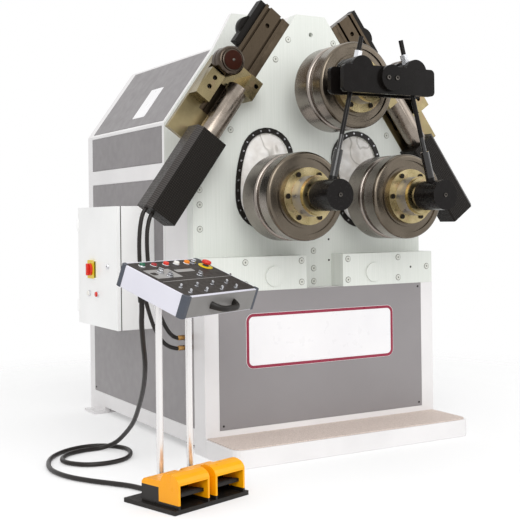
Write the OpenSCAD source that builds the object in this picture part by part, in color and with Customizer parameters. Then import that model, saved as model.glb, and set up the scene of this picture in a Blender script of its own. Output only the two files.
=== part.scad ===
// Three-roll angle bender: welded base with a step, roll head with swing arms,
// tie-rod yoke, two side guides, switch cabinet and a control desk on a foot switch.
// Front faces -Y, the floor is Z = 0 and the origin is the middle of the base.

/* [Base] */
// Width of the base
base_w = 1260; // [1100:10:1500]
// Depth of the base
base_d = 1420; // [1300:10:1600]
// Height of the base
base_h = 713; // [650:1:800]
// Wall of the base and housings
wall = 30; // [20:1:40]
// Height of the side skirts above the floor
skirt_z = 35; // [20:1:60]
// Width of the painted strips beside the panels
strip_w = 71; // [50:1:90]
// Depth of the front beam that stands on the floor
front_beam_d = 109; // [90:1:130]
// Depth of the rear beam that stands on the floor
rear_beam_d = 70; // [60:1:90]
// Thickness of the sheet panels
panel_t = 6; // [4:0.5:8]
// Height of the front panel's lower edge
panel_z = 109; // [90:1:130]
// Reach of the lifting lugs past the base's sides
lug_reach = 60; // [40:1:90]
// Length of a lifting lug
lug_l = 150; // [100:1:200]
// Thickness of the foot pads and lugs
pad_t = 14; // [10:1:20]
// Size of a foot pad
pad_w = 130; // [100:1:160]
// Radius of the anchor and lug holes
anchor_r = 11; // [8:0.5:14]

/* [Step] */
// Reach of the step in front of the base
step_d = 270; // [220:5:320]
// Height of the step
step_h = 83; // [60:1:110]
// Radius of the step's front corners
step_r = 45; // [30:1:60]
// Thickness of the tread
tread_t = 5; // [3:0.5:8]
// Painted margin round the tread
tread_margin = 8; // [5:1:15]

/* [Roll head] */
// Setback of the face plate from the base's front
face_setback = 99; // [80:1:120]
// Thickness of the face plate
face_t = 60; // [50:1:70]
// Depth of the head behind the base's setback, face plate included
head_d = 299; // [280:1:320]
// Height of the head's vertical sides above the base
head_side_h = 514; // [470:1:550]
// Height of the head's top above the top roll's axis
head_rise = 373; // [340:1:410]
// Half the width of the head's top
head_top_x = 79; // [60:1:100]
// Thickness of the inner bearing plate
bearing_t = 40; // [30:1:50]
// Height of the apron plates
apron_h = 153; // [130:1:170]
// Distance of an apron plate from the centre line
apron_x = 100; // [80:1:120]
// Distance of an apron plate's screws from its trunnion
apron_screw_off = 147; // [130:1:160]
// Radius of the round trunnion covers
cover_r = 45; // [35:1:55]
// Thickness of a trunnion cover
cover_t = 8; // [5:0.5:12]
// Radius of a face plate screw's head
bolt_r = 11; // [8:0.5:14]
// Height of a screw's head
bolt_h = 6; // [4:0.5:10]

/* [Rear housing] */
// Height of the rear housing's vertical sides above the base
rear_side_h = 780; // [740:1:820]
// Height of the rear housing's roof above its sides
roof_h = 372; // [340:1:400]
// Half the width of the rear housing's top
rear_top_x = 362; // [330:1:390]
// Width of the belt between the side panels
belt_w = 79; // [60:1:100]

/* [Rolls] */
// Radius of a forming roll
roll_r = 192; // [180:1:194]
// Length of a forming roll
roll_w = 231; // [200:1:240]
// Distance from the base's front to the rolls' back
roll_back = 49; // [45:1:60]
// Depth of the groove round a roll
groove_depth = 14; // [8:1:20]
// Width of the groove round a roll
groove_w = 26; // [16:1:40]
// Share of the roll's length that lies behind its groove
groove_share = 0.52; // [0.4:0.02:0.6]
// Rounding of a roll's rims
rim_r = 14; // [8:1:20]
// Height of the top roll's axis above the lower rolls
top_roll_rise = 491; // [480:1:510]
// Distance of a lower roll from the centre line
low_roll_x = 274; // [265:1:285]
// Height of the lower rolls' axes above the base
low_roll_h = 416; // [400:1:430]
// Radius of a roll shaft
shaft_r = 53; // [48:1:56]
// Radius of a shaft's front journal
journal_r = 40; // [35:1:44]
// Radius of the flange that clamps a roll
flange_r = 123; // [110:1:135]
// Thickness of the clamping flange
flange_t = 18; // [12:1:24]
// Radius of the shaft nut
nut_r = 87; // [80:1:95]
// Length of the shaft nut
nut_l = 67; // [50:1:75]
// Radius of the front washer
washer_r = 80; // [70:1:86]
// Thickness of the front washer
washer_t = 12; // [8:1:16]
// Radius of a drive motor
motor_r = 88; // [70:1:95]
// Length of a drive motor
motor_l = 380; // [300:10:450]

/* [Swing arms] */
// Distance of an arm's pivot past the centre line
pivot_x = 165; // [160:1:175]
// Height of the arms' pivots above the lower rolls' axes
pivot_rise = 31; // [26:1:36]
// Angle that an arm swings through
swing = 24.5; // [20:0.5:24.5]
// Radius of a pivot pin
pivot_r = 25; // [20:1:28]
// Radius of an arm's pivot boss
boss_r = 42; // [38:1:44]
// Radius of the bearing quill round a lower shaft
quill_r = 62; // [60:0.5:64]
// Thickness of a swing arm
arm_t = 84; // [70:1:88]
// Half the width of the slots in the face plate
slot_r = 117; // [105:1:122]
// Half the outer width of the slot rings
ring_r = 141; // [132:1:146]
// Thickness of the slot rings
ring_t = 6; // [4:0.5:9]

/* [Lift cylinders] */
// Height of the cylinders' trunnions above the base
trunnion_h = 62; // [55:1:70]
// Distance of a trunnion from the centre line
trunnion_x = 276; // [270:1:285]
// Radius of a trunnion
trunnion_r = 20; // [15:1:24]
// Distance of a clevis pin from the centre line
clevis_x = 280; // [275:1:285]
// Drop of a clevis pin below the lower rolls' axes
clevis_drop = 114; // [110:1:118]
// Radius of a clevis pin
clevis_r = 14; // [12:0.5:16]
// Radius of a cylinder barrel
barrel_r = 40; // [34:1:44]
// Length of a cylinder barrel below its trunnion
barrel_low = 182; // [170:1:200]
// Room between a barrel and its rod's eye at rest
barrel_clear = 52; // [40:1:60]
// Radius of a piston rod
piston_r = 22; // [18:1:26]

/* [Yoke and tie rods] */
// Half the length of the yoke
yoke_x = 237; // [220:1:250]
// Height of the yoke's plates
yoke_h = 115; // [100:1:125]
// Thickness of a yoke plate
yoke_t = 25; // [20:1:30]
// Distance from the base's front to the yoke's face
yoke_front = 515; // [505:1:525]
// Clear width between the yoke's plates
yoke_gap = 70; // [60:1:76]
// Distance of a swivel lug from the centre line
lug_x = 140; // [130:1:150]
// Height of the swivel lugs' axes above the top roll's axis
lug_rise = 32; // [20:1:40]
// Radius of a swivel lug
lug_r = 55; // [48:1:60]
// Radius of a tie rod
rod_r = 10; // [8:0.5:12]
// Radius of a tie hub
hub_r = 65; // [58:1:70]
// Length of a tie hub
hub_l = 138; // [130:1:142]
// Distance from the base's front to the tie hubs' faces
hub_front = 535; // [530:1:545]
// Radius of a tie rod's lower sleeve
sleeve_r = 19; // [16:1:22]
// Length of a tie rod's lower sleeve
sleeve_l = 130; // [100:1:150]
// Length of a tie rod above its lug
rod_top = 105; // [90:1:130]
// Across-corners radius of a tie rod nut
rod_nut_r = 18; // [17:0.5:22]
// Height of a tie rod nut
rod_nut_h = 20; // [15:1:26]

/* [Side guides] */
// Lower end of the guard along the head's slant
guard_from = -259; // [-280:1:-230]
// Length of the guard
guard_l = 431; // [400:1:460]
// Width of the guard
guard_w = 155; // [145:1:165]
// Depth of the guard
guard_d = 116; // [108:1:118]
// Wall of the guard
guard_wall = 4; // [3:0.5:5]
// Distance of the guard's axis from the slant
guard_off = 64; // [55:1:75]
// Distance from the base's front to the guard's face
guard_front = 17; // [12:1:22]
// Radius of the guide tube
tube_r = 50; // [45:1:51]
// Lower end of the rail along the slant
rail_from = 270; // [240:1:300]
// Upper end of the rail along the slant
rail_to = 880; // [850:1:910]
// Width of the rail
rail_w = 119; // [110:1:130]
// Thickness of the rail
rail_t = 58; // [50:1:64]
// Distance of the rail from the slant
rail_off = 30; // [25:1:40]
// Width of a rail groove
rail_groove_w = 12; // [8:1:16]
// Depth of a rail groove
rail_groove_d = 16; // [10:1:20]
// Radius of a guide roller
guide_r = 65; // [58:1:68]
// Length of a guide roller
guide_l = 84; // [70:1:86]
// Distance of a guide roller from the slant
guide_off = 176; // [172:1:185]
// Place of a guide roller along the slant
guide_at = 500; // [498:1:515]

/* [Switch cabinet] */
// Reach of the cabinet from the base's side
cabinet_w = 192; // [170:1:220]
// Depth of the cabinet along the base
cabinet_d = 532; // [480:1:560]
// Height of the cabinet
cabinet_h = 587; // [540:1:620]
// Front edge of the cabinet behind the base's front
cabinet_y = 524; // [500:1:560]
// Height of the cabinet's lower edge
cabinet_z = 516; // [490:1:540]
// Sheet of the cabinet
cabinet_t = 4; // [2:0.5:6]
// Depth of the cabinet's door
door_d = 22; // [16:1:30]

/* [Control desk] */
// Width of the desk
desk_w = 468; // [440:1:500]
// Length of the desk along its slope
desk_l = 328; // [310:1:345]
// Thickness of the desk
desk_t = 86; // [76:1:96]
// Tilt of the desk towards the operator
desk_tilt = 21; // [15:1:25]
// Turn of the desk from the machine's front
desk_turn = 27; // [20:1:32]
// Height of the middle of the desk's top
desk_z = 818; // [800:1:850]
// Radius of a push button
button_r = 12; // [10:0.5:14]
// Height of a push button
button_h = 12; // [9:0.5:15]
// Radius of the stop mushroom
mushroom_r = 20; // [17:0.5:22]
// Radius of a selector lever
lever_r = 5; // [4:0.5:6]
// Length of a selector lever
lever_l = 24; // [18:1:30]
// Width of the bow handle
handle_w = 190; // [160:5:230]

/* [Foot switch] */
// Width of the foot plate
foot_w = 370; // [340:5:400]
// Depth of the foot plate
foot_d = 280; // [260:5:300]
// Thickness of the foot plate
foot_t = 16; // [10:1:22]
// Turn of the foot plate from the machine's front
foot_turn = 17; // [10:1:25]
// Height of a pedal guard
pedal_guard_h = 140; // [120:2:160]
// Width of a pedal guard
pedal_guard_w = 150; // [130:2:165]
// Depth of a pedal guard
pedal_guard_d = 200; // [170:2:215]
// Wall of a pedal guard
pedal_wall = 9; // [6:0.5:12]
// Radius of a stand pole
pole_r = 13; // [10:0.5:16]

/* [Hidden] */
$fn = 48;
// Overrun of every cut
over = 1;
// Radial clearance of a running fit
run = 0.05;
// Gap between bodies that move past each other
gap = 0.5;

low_roll_z = base_h + low_roll_h;
top_roll_z = low_roll_z + top_roll_rise;
pivot_z = low_roll_z + pivot_rise;
clevis_z = low_roll_z - clevis_drop;
trunnion_z = base_h + trunnion_h;
lug_z = top_roll_z + lug_rise;
head_side_z = base_h + head_side_h;
head_top_z = top_roll_z + head_rise;
rear_side_z = base_h + rear_side_h;
rear_top_z = rear_side_z + roof_h;
belt_z = head_side_z;

front_y = -base_d / 2;
rear_y = base_d / 2;
face_y = front_y + face_setback;
face_back_y = face_y + face_t;
head_back_y = face_y + head_d;
half_w = base_w / 2;
panel_side_from = front_y + front_beam_d;
panel_side_to = rear_y - rear_beam_d;
panel_lip = strip_w / 3;
panel_gap = 1;

roll_back_y = front_y - roll_back;
roll_front_y = roll_back_y - roll_w;
flange_front_y = roll_front_y - flange_t;
nut_front_y = flange_front_y - nut_l;
washer_front_y = nut_front_y - washer_t;
yoke_front_y = front_y - yoke_front;
yoke_back_y = yoke_front_y + yoke_t + yoke_gap + yoke_t;
tie_y = yoke_front_y + yoke_t + yoke_gap / 2;
hub_front_y = front_y - hub_front;
hub_back_y = hub_front_y + hub_l;
journal_y = washer_front_y - washer_t / 2;
shaft_end_y = yoke_front_y - yoke_t / 2;
cap_t = 6;

// Layers of the two crossing arms behind the face plate
arm_space = (head_d - face_t - bearing_t) / 2;
bearing_y = head_back_y - bearing_t;
left_arm_y = face_back_y + (arm_space - arm_t) / 2;
right_arm_y = left_arm_y + arm_space;
quill_front_y = roll_back_y + wall / 2;
quill_back_y = head_back_y + wall / 2;
swing_r = norm([pivot_x + low_roll_x, pivot_z - low_roll_z]);
rest_angle = atan2(low_roll_z - pivot_z, low_roll_x + pivot_x);

// Boxes and turned forms
module span(x, y, z) {
  translate([x[0], y[0], z[0]]) cube([x[1] - x[0], y[1] - y[0], z[1] - z[0]]);
}

module rod_y(r, from, to) {
  translate([0, from, 0]) rotate([-90, 0, 0]) cylinder(r = r, h = to - from);
}

module sheet_y(from, to) {
  translate([0, to, 0]) rotate([90, 0, 0]) linear_extrude(to - from) children();
}

module at_xz(x, z) {
  translate([x, 0, z]) children();
}

module both_sides() {
  children();
  mirror([1, 0, 0]) children();
}

// House-shaped outline: vertical sides, slants and a flat top, drawn in by t
function slant_len(side_z, top_x, top_z) = norm([half_w - top_x, top_z - side_z]);
function slant_n(side_z, top_x, top_z) = [top_z - side_z, half_w - top_x] / slant_len(side_z, top_x, top_z);
function shoulder(side_z, top_x, top_z, t) =
  let (n = slant_n(side_z, top_x, top_z), c = n * [half_w, side_z] - t)
  [half_w - t, (c - n[0] * (half_w - t)) / n[1]];
function crown(side_z, top_x, top_z, t) =
  let (n = slant_n(side_z, top_x, top_z), c = n * [half_w, side_z] - t)
  [(c - n[1] * (top_z - t)) / n[0], top_z - t];
module house(side_z, top_x, top_z, low_z, t) {
  s = shoulder(side_z, top_x, top_z, t);
  c = crown(side_z, top_x, top_z, t);
  polygon([[-s[0], low_z], [s[0], low_z], s, c, [-c[0], c[1]], [-s[0], s[1]]]);
}
module head_outline(low_z, t) {
  house(head_side_z, head_top_x, head_top_z, low_z, t);
}
module rear_outline(low_z, t) {
  house(rear_side_z, rear_top_x, rear_top_z, low_z, t);
}

// Curved slot that the right lower shaft swings through
slot_n = 56;
function slot_polar(a, r) = [r * cos(a) - pivot_x, r * sin(a) + pivot_z];
function slot_point(u, r) =
  let (q = floor(u) % 4, f = u - floor(u), top = rest_angle + swing)
  q == 0 ? slot_polar(rest_angle + f * swing, swing_r + r) :
  q == 1 ? slot_polar(top, swing_r) + r * [cos(top + 180 * f), sin(top + 180 * f)] :
  q == 2 ? slot_polar(top - f * swing, swing_r - r) :
  slot_polar(rest_angle, swing_r) + r * [cos(rest_angle + 180 + 180 * f), sin(rest_angle + 180 + 180 * f)];
module arc_slot(r, from, to) {
  sheet_y(from, to) polygon([for (i = [0:slot_n - 1]) slot_point(4 * i / slot_n, r)]);
}

// Base
module side_window(inset, depth_from, depth_to) {
  span([depth_from, depth_to], [panel_side_from + inset, panel_side_to - inset],
       [panel_z + inset, base_h - inset]);
}

module front_window(inset, depth_from, depth_to) {
  span([inset - half_w + strip_w, half_w - strip_w - inset], [depth_from, depth_to],
       [panel_z + inset, base_h - inset]);
}

pad_x = half_w - wall - pad_w / 2;
pad_y = rear_y - rear_beam_d - pad_w / 2;

module base_frame() color("gainsboro") difference() {
  union() {
    difference() {
      span([-half_w, half_w], [front_y, rear_y], [skirt_z, base_h]);
      span([wall - half_w, half_w - wall], [front_y + wall, rear_y - wall],
           [skirt_z - over, base_h - wall]);
    }
    span([-half_w, half_w], [front_y, front_y + front_beam_d], [0, panel_z]);
    span([-half_w, half_w], [rear_y - rear_beam_d, rear_y], [0, panel_z]);
    for (x = [-pad_x, pad_x], y = [-pad_y, pad_y])
      span([x - pad_w / 2, x + pad_w / 2], [y - pad_w / 2, y + pad_w / 2], [0, pad_t]);
    both_sides()
      span([-half_w - lug_reach, wall - half_w], [pad_y - lug_l / 2, pad_y + lug_l / 2], [0, pad_t]);
    both_sides()
      span([-half_w, wall - half_w], [pad_y - lug_l / 2, pad_y + lug_l / 2], [0, panel_z]);
  }
  both_sides() {
    side_window(-panel_gap, -half_w - over, panel_t - half_w);
    side_window(panel_lip, -half_w - over, wall - half_w + over);
  }
  front_window(-panel_gap, front_y - over, front_y + panel_t);
  front_window(panel_lip, front_y - over, front_y + wall + over);
  front_window(-panel_gap, rear_y - panel_t, rear_y + over);
  front_window(panel_lip, rear_y - wall - over, rear_y + over);
  for (x = [-trunnion_x, trunnion_x])
    span([x - 2 * barrel_r, x + 2 * barrel_r], [face_back_y, bearing_y],
         [base_h - wall - over, base_h + over]);
  for (x = [-pad_x, pad_x], y = [-pad_y, pad_y])
    translate([x, y, -over]) cylinder(r = anchor_r, h = pad_t + 2 * over);
  both_sides()
    translate([-half_w - lug_reach / 2, pad_y, -over]) cylinder(r = anchor_r, h = pad_t + 2 * over);
}

fitting_r = 13;
module hose_fitting(route) {
  end = route[len(route) - 1];
  translate(end) rotate([0, 90, 0]) cylinder(r = fitting_r, h = -gap - half_w - end[0]);
}
module base_panels() color("gray") {
  hose_fitting(hose_a_route);
  hose_fitting(hose_b_route);
  front_window(0, front_y, front_y + panel_t);
  front_window(0, rear_y - panel_t, rear_y);
  both_sides() side_window(0, -half_w, panel_t - half_w);
}

// Step
step_front_y = front_y - step_d;
step_turn = 22.5;
module step_outline(inset) {
  x = half_w - inset;
  y = step_front_y + inset;
  polygon([
    for (a = [0:step_turn:90]) [x - step_r + step_r * cos(a), y + step_r - step_r * sin(a)],
    for (a = [0:step_turn:90]) [step_r - x - step_r * sin(a), y + step_r - step_r * cos(a)],
    [-x, front_y],
    [x, front_y]
  ]);
}

module front_step() color("whitesmoke") difference() {
  linear_extrude(step_h - tread_t) step_outline(0);
  translate([0, 0, -over]) linear_extrude(step_h - tread_t - wall / 3 + over)
    difference() {
      step_outline(wall / 2);
      translate([-half_w, front_y - wall / 2]) square([base_w, wall]);
    }
}

module step_tread() color("rosybrown")
  translate([0, 0, step_h - tread_t]) linear_extrude(tread_t) step_outline(tread_margin);

// Roll head
module top_bore(r) {
  at_xz(0, top_roll_z) rod_y(r, face_y - over, head_back_y + over);
}

lift_hole_z = (head_top_z + top_roll_z + roll_r) / 2;
module face_plate() color("honeydew") difference() {
  union() {
    sheet_y(face_y, face_back_y) head_outline(base_h, 0);
    at_xz(pivot_x, pivot_z) rod_y(pivot_r, face_back_y - over, left_arm_y + arm_t);
  }
  both_sides() arc_slot(slot_r, face_y - over, face_back_y + over);
  top_bore(shaft_r + run);
  at_xz(0, lift_hole_z) rod_y(anchor_r, face_y - over, face_back_y + over);
  both_sides() at_xz(trunnion_x, trunnion_z) rod_y(trunnion_r + run, face_y - over, face_back_y + over);
}

module head_housing() color("gainsboro") difference() {
  sheet_y(face_back_y, head_back_y) head_outline(base_h, 0);
  sheet_y(face_back_y - over, head_back_y + over) head_outline(base_h - over, wall);
}

module bearing_plate() color("silver") difference() {
  union() {
    sheet_y(bearing_y, head_back_y) head_outline(base_h, wall);
    at_xz(-pivot_x, pivot_z) rod_y(pivot_r, right_arm_y, bearing_y + over);
  }
  both_sides() arc_slot(quill_r + 2 * rim_r, bearing_y - over, head_back_y + over);
  top_bore(shaft_r + run);
  both_sides() at_xz(trunnion_x, trunnion_z) rod_y(trunnion_r + run, bearing_y - over, head_back_y + over);
}

module rear_panel_cut(inset, from, to) {
  y_from = head_back_y + wall + inset;
  y_to = rear_y - rear_beam_d - inset;
  span([from, to], [y_from, y_to], [base_h + wall / 2 + inset, belt_z - inset]);
  span([from, to], [y_from, y_to], [belt_z + belt_w + inset, rear_side_z - wall / 2 - inset]);
}

slant_turn = atan2(rear_top_z - rear_side_z, half_w - rear_top_x);
slant_l = slant_len(rear_side_z, rear_top_x, rear_top_z);
module slant_panel(inset, from, to) {
  translate([-half_w, 0, rear_side_z]) rotate([0, 90 - slant_turn, 0])
    span([from, to], [head_back_y + wall + inset, rear_y - rear_beam_d - inset],
         [wall / 2 + inset, slant_l - wall / 2 - inset]);
}

module rear_cover_cut(inset, from, to) {
  span([inset + strip_w - half_w, half_w - strip_w - inset], [from, to],
       [base_h + strip_w + inset, rear_side_z - inset]);
}

module rear_housing() color("gainsboro") difference() {
  sheet_y(head_back_y, rear_y) rear_outline(base_h, 0);
  sheet_y(head_back_y + wall, rear_y - wall) rear_outline(base_h - over, wall);
  sheet_y(head_back_y - over, head_back_y + wall + over) intersection() {
    head_outline(base_h - over, 2 * wall);
    rear_outline(base_h - over, wall);
  }
  both_sides() {
    rear_panel_cut(-panel_gap, -half_w - over, panel_t - half_w);
    rear_panel_cut(panel_lip, -half_w - over, wall - half_w + over);
    slant_panel(-panel_gap, -over, panel_t);
    slant_panel(panel_lip, -over, wall + over);
  }
  rear_cover_cut(-panel_gap, rear_y - panel_t, rear_y + over);
  rear_cover_cut(panel_lip, rear_y - wall - over, rear_y + over);
}

module housing_panels() color("gray") {
  both_sides() {
    rear_panel_cut(0, -half_w, panel_t - half_w);
    slant_panel(0, 0, panel_t);
  }
  rear_cover_cut(0, rear_y - panel_t, rear_y);
}

apron_top_z = base_h + apron_h;
module apron_plates() color("honeydew") both_sides() difference() {
  span([apron_x, half_w], [front_y, face_y], [base_h, apron_top_z]);
  at_xz(trunnion_x, trunnion_z) rod_y(trunnion_r + run, front_y - over, face_y + over);
}

module trunnion_covers() color("gainsboro") both_sides()
  at_xz(trunnion_x, trunnion_z) rod_y(cover_r, front_y - cover_t, front_y);

module slot_rings() color("black") both_sides() difference() {
  arc_slot(ring_r, face_y - ring_t, face_y);
  arc_slot(slot_r, face_y - ring_t - over, face_y + over);
}

// Screws of the face plate follow its edge, those of the aprons their corners
edge_in = 3 * bolt_r;
edge_shares = [0.3, 0.52, 0.75, 0.88];
side_shares = [0.36, 0.67, 0.86];
centre_shares = [0.16, 0.56, 1.1];
apron_z_shares = [0.2, 0.84];
apron_end_share = 0.52;
module screw_head(y) {
  rod_y(bolt_r, y - bolt_h, y);
}

module face_screws() color("silver") {
  s = shoulder(head_side_z, head_top_x, head_top_z, edge_in);
  c = crown(head_side_z, head_top_x, head_top_z, edge_in);
  both_sides() {
    for (k = edge_shares) at_xz(s[0] + k * (c[0] - s[0]), s[1] + k * (c[1] - s[1])) screw_head(face_y);
    for (k = side_shares) at_xz(s[0], apron_top_z + k * (s[1] - apron_top_z)) screw_head(face_y);
    for (x = [-apron_screw_off, apron_screw_off], z = apron_z_shares)
      at_xz(trunnion_x + x, base_h + z * apron_h) screw_head(front_y);
    at_xz(half_w - edge_in, base_h + apron_end_share * apron_h) screw_head(front_y);
  }
  for (k = centre_shares) at_xz(0, base_h + k * apron_h) screw_head(face_y);
}

// Cloth gaiters: a pleated skin from the slot ring to the quill's collar
gaiter_t = 3;
gaiter_rings = 5;
pleats = 14;
pleat_h = 5;
collar_r = quill_r + gap;
gaiter_reach = 40;
function turn_of(p) = atan2(p[1] - low_roll_z, p[0] - low_roll_x);
function collar_point(p) = [low_roll_x, low_roll_z] + collar_r * [cos(turn_of(p)), sin(turn_of(p))];
function gaiter_point(i, k, back) =
  let (
    p = slot_point(4 * i / slot_n, slot_r - gap),
    f = k / (gaiter_rings - 1),
    q = p + f * (collar_point(p) - p),
    fold = pleat_h * sin(180 * f) * cos(360 * pleats * i / slot_n)
  )
  [q[0], face_y + pleat_h - gaiter_reach * f * f + fold + back * gaiter_t, q[1]];

module gaiter() {
  n = slot_n;
  rings = gaiter_rings;
  points = [
    for (k = [0:rings - 1], i = [0:n - 1]) gaiter_point(i, k, 0),
    for (k = [0:rings - 1], i = [0:n - 1]) gaiter_point(i, k, 1)
  ];
  m = rings * n;
  faces = [
    for (k = [0:rings - 2], i = [0:n - 1]) let (a = k * n + i, b = k * n + (i + 1) % n)
      each [[a, b, b + n], [a, b + n, a + n]],
    for (k = [0:rings - 2], i = [0:n - 1]) let (a = m + k * n + i, b = m + k * n + (i + 1) % n)
      each [[a, b + n, b], [a, a + n, b + n]],
    for (i = [0:n - 1]) let (a = i, b = (i + 1) % n) each [[a, m + b, b], [a, m + a, m + b]],
    for (i = [0:n - 1]) let (a = m - n + i, b = m - n + (i + 1) % n)
      each [[a, b, m + b], [a, m + b, m + a]]
  ];
  polyhedron(points, faces);
}

module right_gaiter() color("white") gaiter();
module left_gaiter() color("white") mirror([1, 0, 0]) gaiter();

// Swing arms, drawn for the right roll
beam_r = boss_r - rim_r / 4;
module arm(y) {
  difference() {
    union() {
      at_xz(-pivot_x, pivot_z) rod_y(boss_r, y - gap, y + arm_t + gap);
      translate([-pivot_x, y, pivot_z]) rotate([0, -rest_angle, 0])
        translate([0, 0, -beam_r]) cube([swing_r, arm_t, 2 * beam_r]);
      at_xz(low_roll_x, low_roll_z) rod_y(quill_r, quill_front_y, quill_back_y);
      at_xz(clevis_x, clevis_z) rod_y(clevis_r, y, y + arm_t);
      for (k = [y, y + arm_t - wall / 2])
        span([clevis_x - 2 * clevis_r, clevis_x + 2 * clevis_r], [k, k + wall / 2],
             [clevis_z - 2 * clevis_r, low_roll_z]);
    }
    at_xz(-pivot_x, pivot_z) rod_y(pivot_r + run, y - over, y + arm_t + over);
    at_xz(low_roll_x, low_roll_z) rod_y(shaft_r + run, quill_front_y - over, quill_back_y + over);
  }
}
module right_arm() color("dimgray") arm(right_arm_y);
module left_arm() color("dimgray") mirror([1, 0, 0]) arm(left_arm_y);

motor_r_shares = [1, 0.7, 0.5];
motor_l_shares = [0.55, 0.8, 1];
motor_y = quill_back_y;
module motor(y) {
  difference() {
    union() {
      for (k = [0, 1, 2]) rod_y(motor_r * motor_r_shares[k], y, y + motor_l * motor_l_shares[k]);
    }
    rod_y(shaft_r + gap, y - over, y + motor_l / 3);
  }
}
module right_motor() color("slategray") at_xz(low_roll_x, low_roll_z) motor(motor_y);
module left_motor() color("slategray") at_xz(-low_roll_x, low_roll_z) motor(motor_y);
module top_motor() color("slategray") at_xz(0, top_roll_z) motor(head_back_y);

// Shafts, rolls and clamping sets
module shaft(back_y) {
  rod_y(shaft_r, journal_y, back_y);
  rod_y(journal_r, shaft_end_y, journal_y + over);
}
shaft_back_y = motor_y + motor_l / 3 - gap;
module top_shaft() color("silver") at_xz(0, top_roll_z) shaft(head_back_y + motor_l / 3 - gap);
module left_shaft() color("silver") at_xz(-low_roll_x, low_roll_z) shaft(shaft_back_y);
module right_shaft() color("silver") at_xz(low_roll_x, low_roll_z) shaft(shaft_back_y);

// Roll profile along its axis, from the back face forwards
module roll() {
  split = roll_w * groove_share;
  translate([0, roll_back_y, 0]) rotate([90, 0, 0]) rotate_extrude($fn = 96) difference() {
    union() {
      translate([shaft_r, 0]) square([roll_r - rim_r - shaft_r, roll_w]);
      for (band = [[0, split], [split + groove_w, roll_w]]) {
        translate([shaft_r, band[0] + rim_r]) square([roll_r - shaft_r, band[1] - band[0] - 2 * rim_r]);
        for (y = [band[0] + rim_r, band[1] - rim_r]) translate([roll_r - rim_r, y]) circle(r = rim_r);
      }
    }
    translate([roll_r - groove_depth, split]) square([groove_depth + over, groove_w]);
    translate([flange_r + rim_r, roll_w - rim_r / 2]) square([roll_r - flange_r - 3 * rim_r, rim_r]);
  }
}
module top_roll() color("dimgray") at_xz(0, top_roll_z) roll();
module left_roll() color("dimgray") at_xz(-low_roll_x, low_roll_z) roll();
module right_roll() color("dimgray") at_xz(low_roll_x, low_roll_z) roll();

clamp_screws = 6;
spanner_holes = 8;
module clamp_set() {
  difference() {
    union() {
      rod_y(flange_r, flange_front_y, roll_front_y);
      for (a = [0:360 / clamp_screws:359]) rotate([0, a, 0])
        at_xz((flange_r + nut_r) / 2, 0) rod_y(bolt_r, flange_front_y - bolt_h, flange_front_y + over);
    }
    rod_y(shaft_r, flange_front_y - bolt_h - over, roll_front_y + over);
  }
  difference() {
    rod_y(nut_r, nut_front_y, flange_front_y);
    rod_y(shaft_r, nut_front_y - over, flange_front_y + over);
    for (a = [0:360 / spanner_holes:359]) rotate([0, a, 0])
      translate([nut_r - bolt_h, (nut_front_y + flange_front_y) / 2, 0])
        rotate([0, 90, 0]) cylinder(r = bolt_r / 2, h = bolt_h + over);
  }
  difference() {
    rod_y(washer_r, washer_front_y, nut_front_y);
    rod_y(shaft_r, washer_front_y - over, nut_front_y + over);
  }
}
module top_clamp() color("darkkhaki") at_xz(0, top_roll_z) clamp_set();
module left_clamp() color("darkkhaki") at_xz(-low_roll_x, low_roll_z) clamp_set();
module right_clamp() color("darkkhaki") at_xz(low_roll_x, low_roll_z) clamp_set();

// Lift cylinders, drawn for the right arm
lift_l = norm([clevis_x - trunnion_x, clevis_z - trunnion_z]);
lift_turn = atan2(clevis_x - trunnion_x, clevis_z - trunnion_z);
clevis_play = 10.5;
eye_r = clevis_r + clevis_play + wall / 2;
barrel_l = barrel_low + lift_l - eye_r - barrel_clear;
module lift_frame(y) {
  translate([trunnion_x, y + arm_t / 2, trunnion_z]) rotate([0, lift_turn, 0]) children();
}
module cylinder_barrel(y, trunnion_from, trunnion_to) {
  difference() {
    union() {
      lift_frame(y) translate([0, 0, -barrel_low]) cylinder(r = barrel_r, h = barrel_l);
      at_xz(trunnion_x, trunnion_z) rod_y(trunnion_r, trunnion_from, trunnion_to);
    }
    lift_frame(y) translate([0, 0, wall - barrel_low])
      cylinder(r = barrel_r - wall / 4, h = barrel_l - 2 * wall);
    lift_frame(y) translate([0, 0, wall - barrel_low]) cylinder(r = piston_r + run, h = barrel_l);
  }
}
module piston_rod(y) {
  eye_t = arm_t - wall - 4 * gap;
  difference() {
    union() {
      lift_frame(y) translate([0, 0, wall - barrel_low + gap]) {
        cylinder(r = barrel_r - wall / 4 - run, h = wall);
        cylinder(r = piston_r, h = lift_l - wall + barrel_low - clevis_r);
      }
      at_xz(clevis_x, clevis_z) rod_y(eye_r, y + (arm_t - eye_t) / 2, y + (arm_t + eye_t) / 2);
    }
    at_xz(clevis_x, clevis_z) rod_y(clevis_r + clevis_play, y - over, y + arm_t + over);
  }
}
module left_cylinder() color("darkslategray") mirror([1, 0, 0])
  cylinder_barrel(left_arm_y, front_y + gap, left_arm_y + arm_t);
module right_cylinder() color("darkslategray") cylinder_barrel(right_arm_y, front_y + gap, head_back_y);
module left_piston() color("silver") mirror([1, 0, 0]) piston_rod(left_arm_y);
module right_piston() color("silver") piston_rod(right_arm_y);

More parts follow.
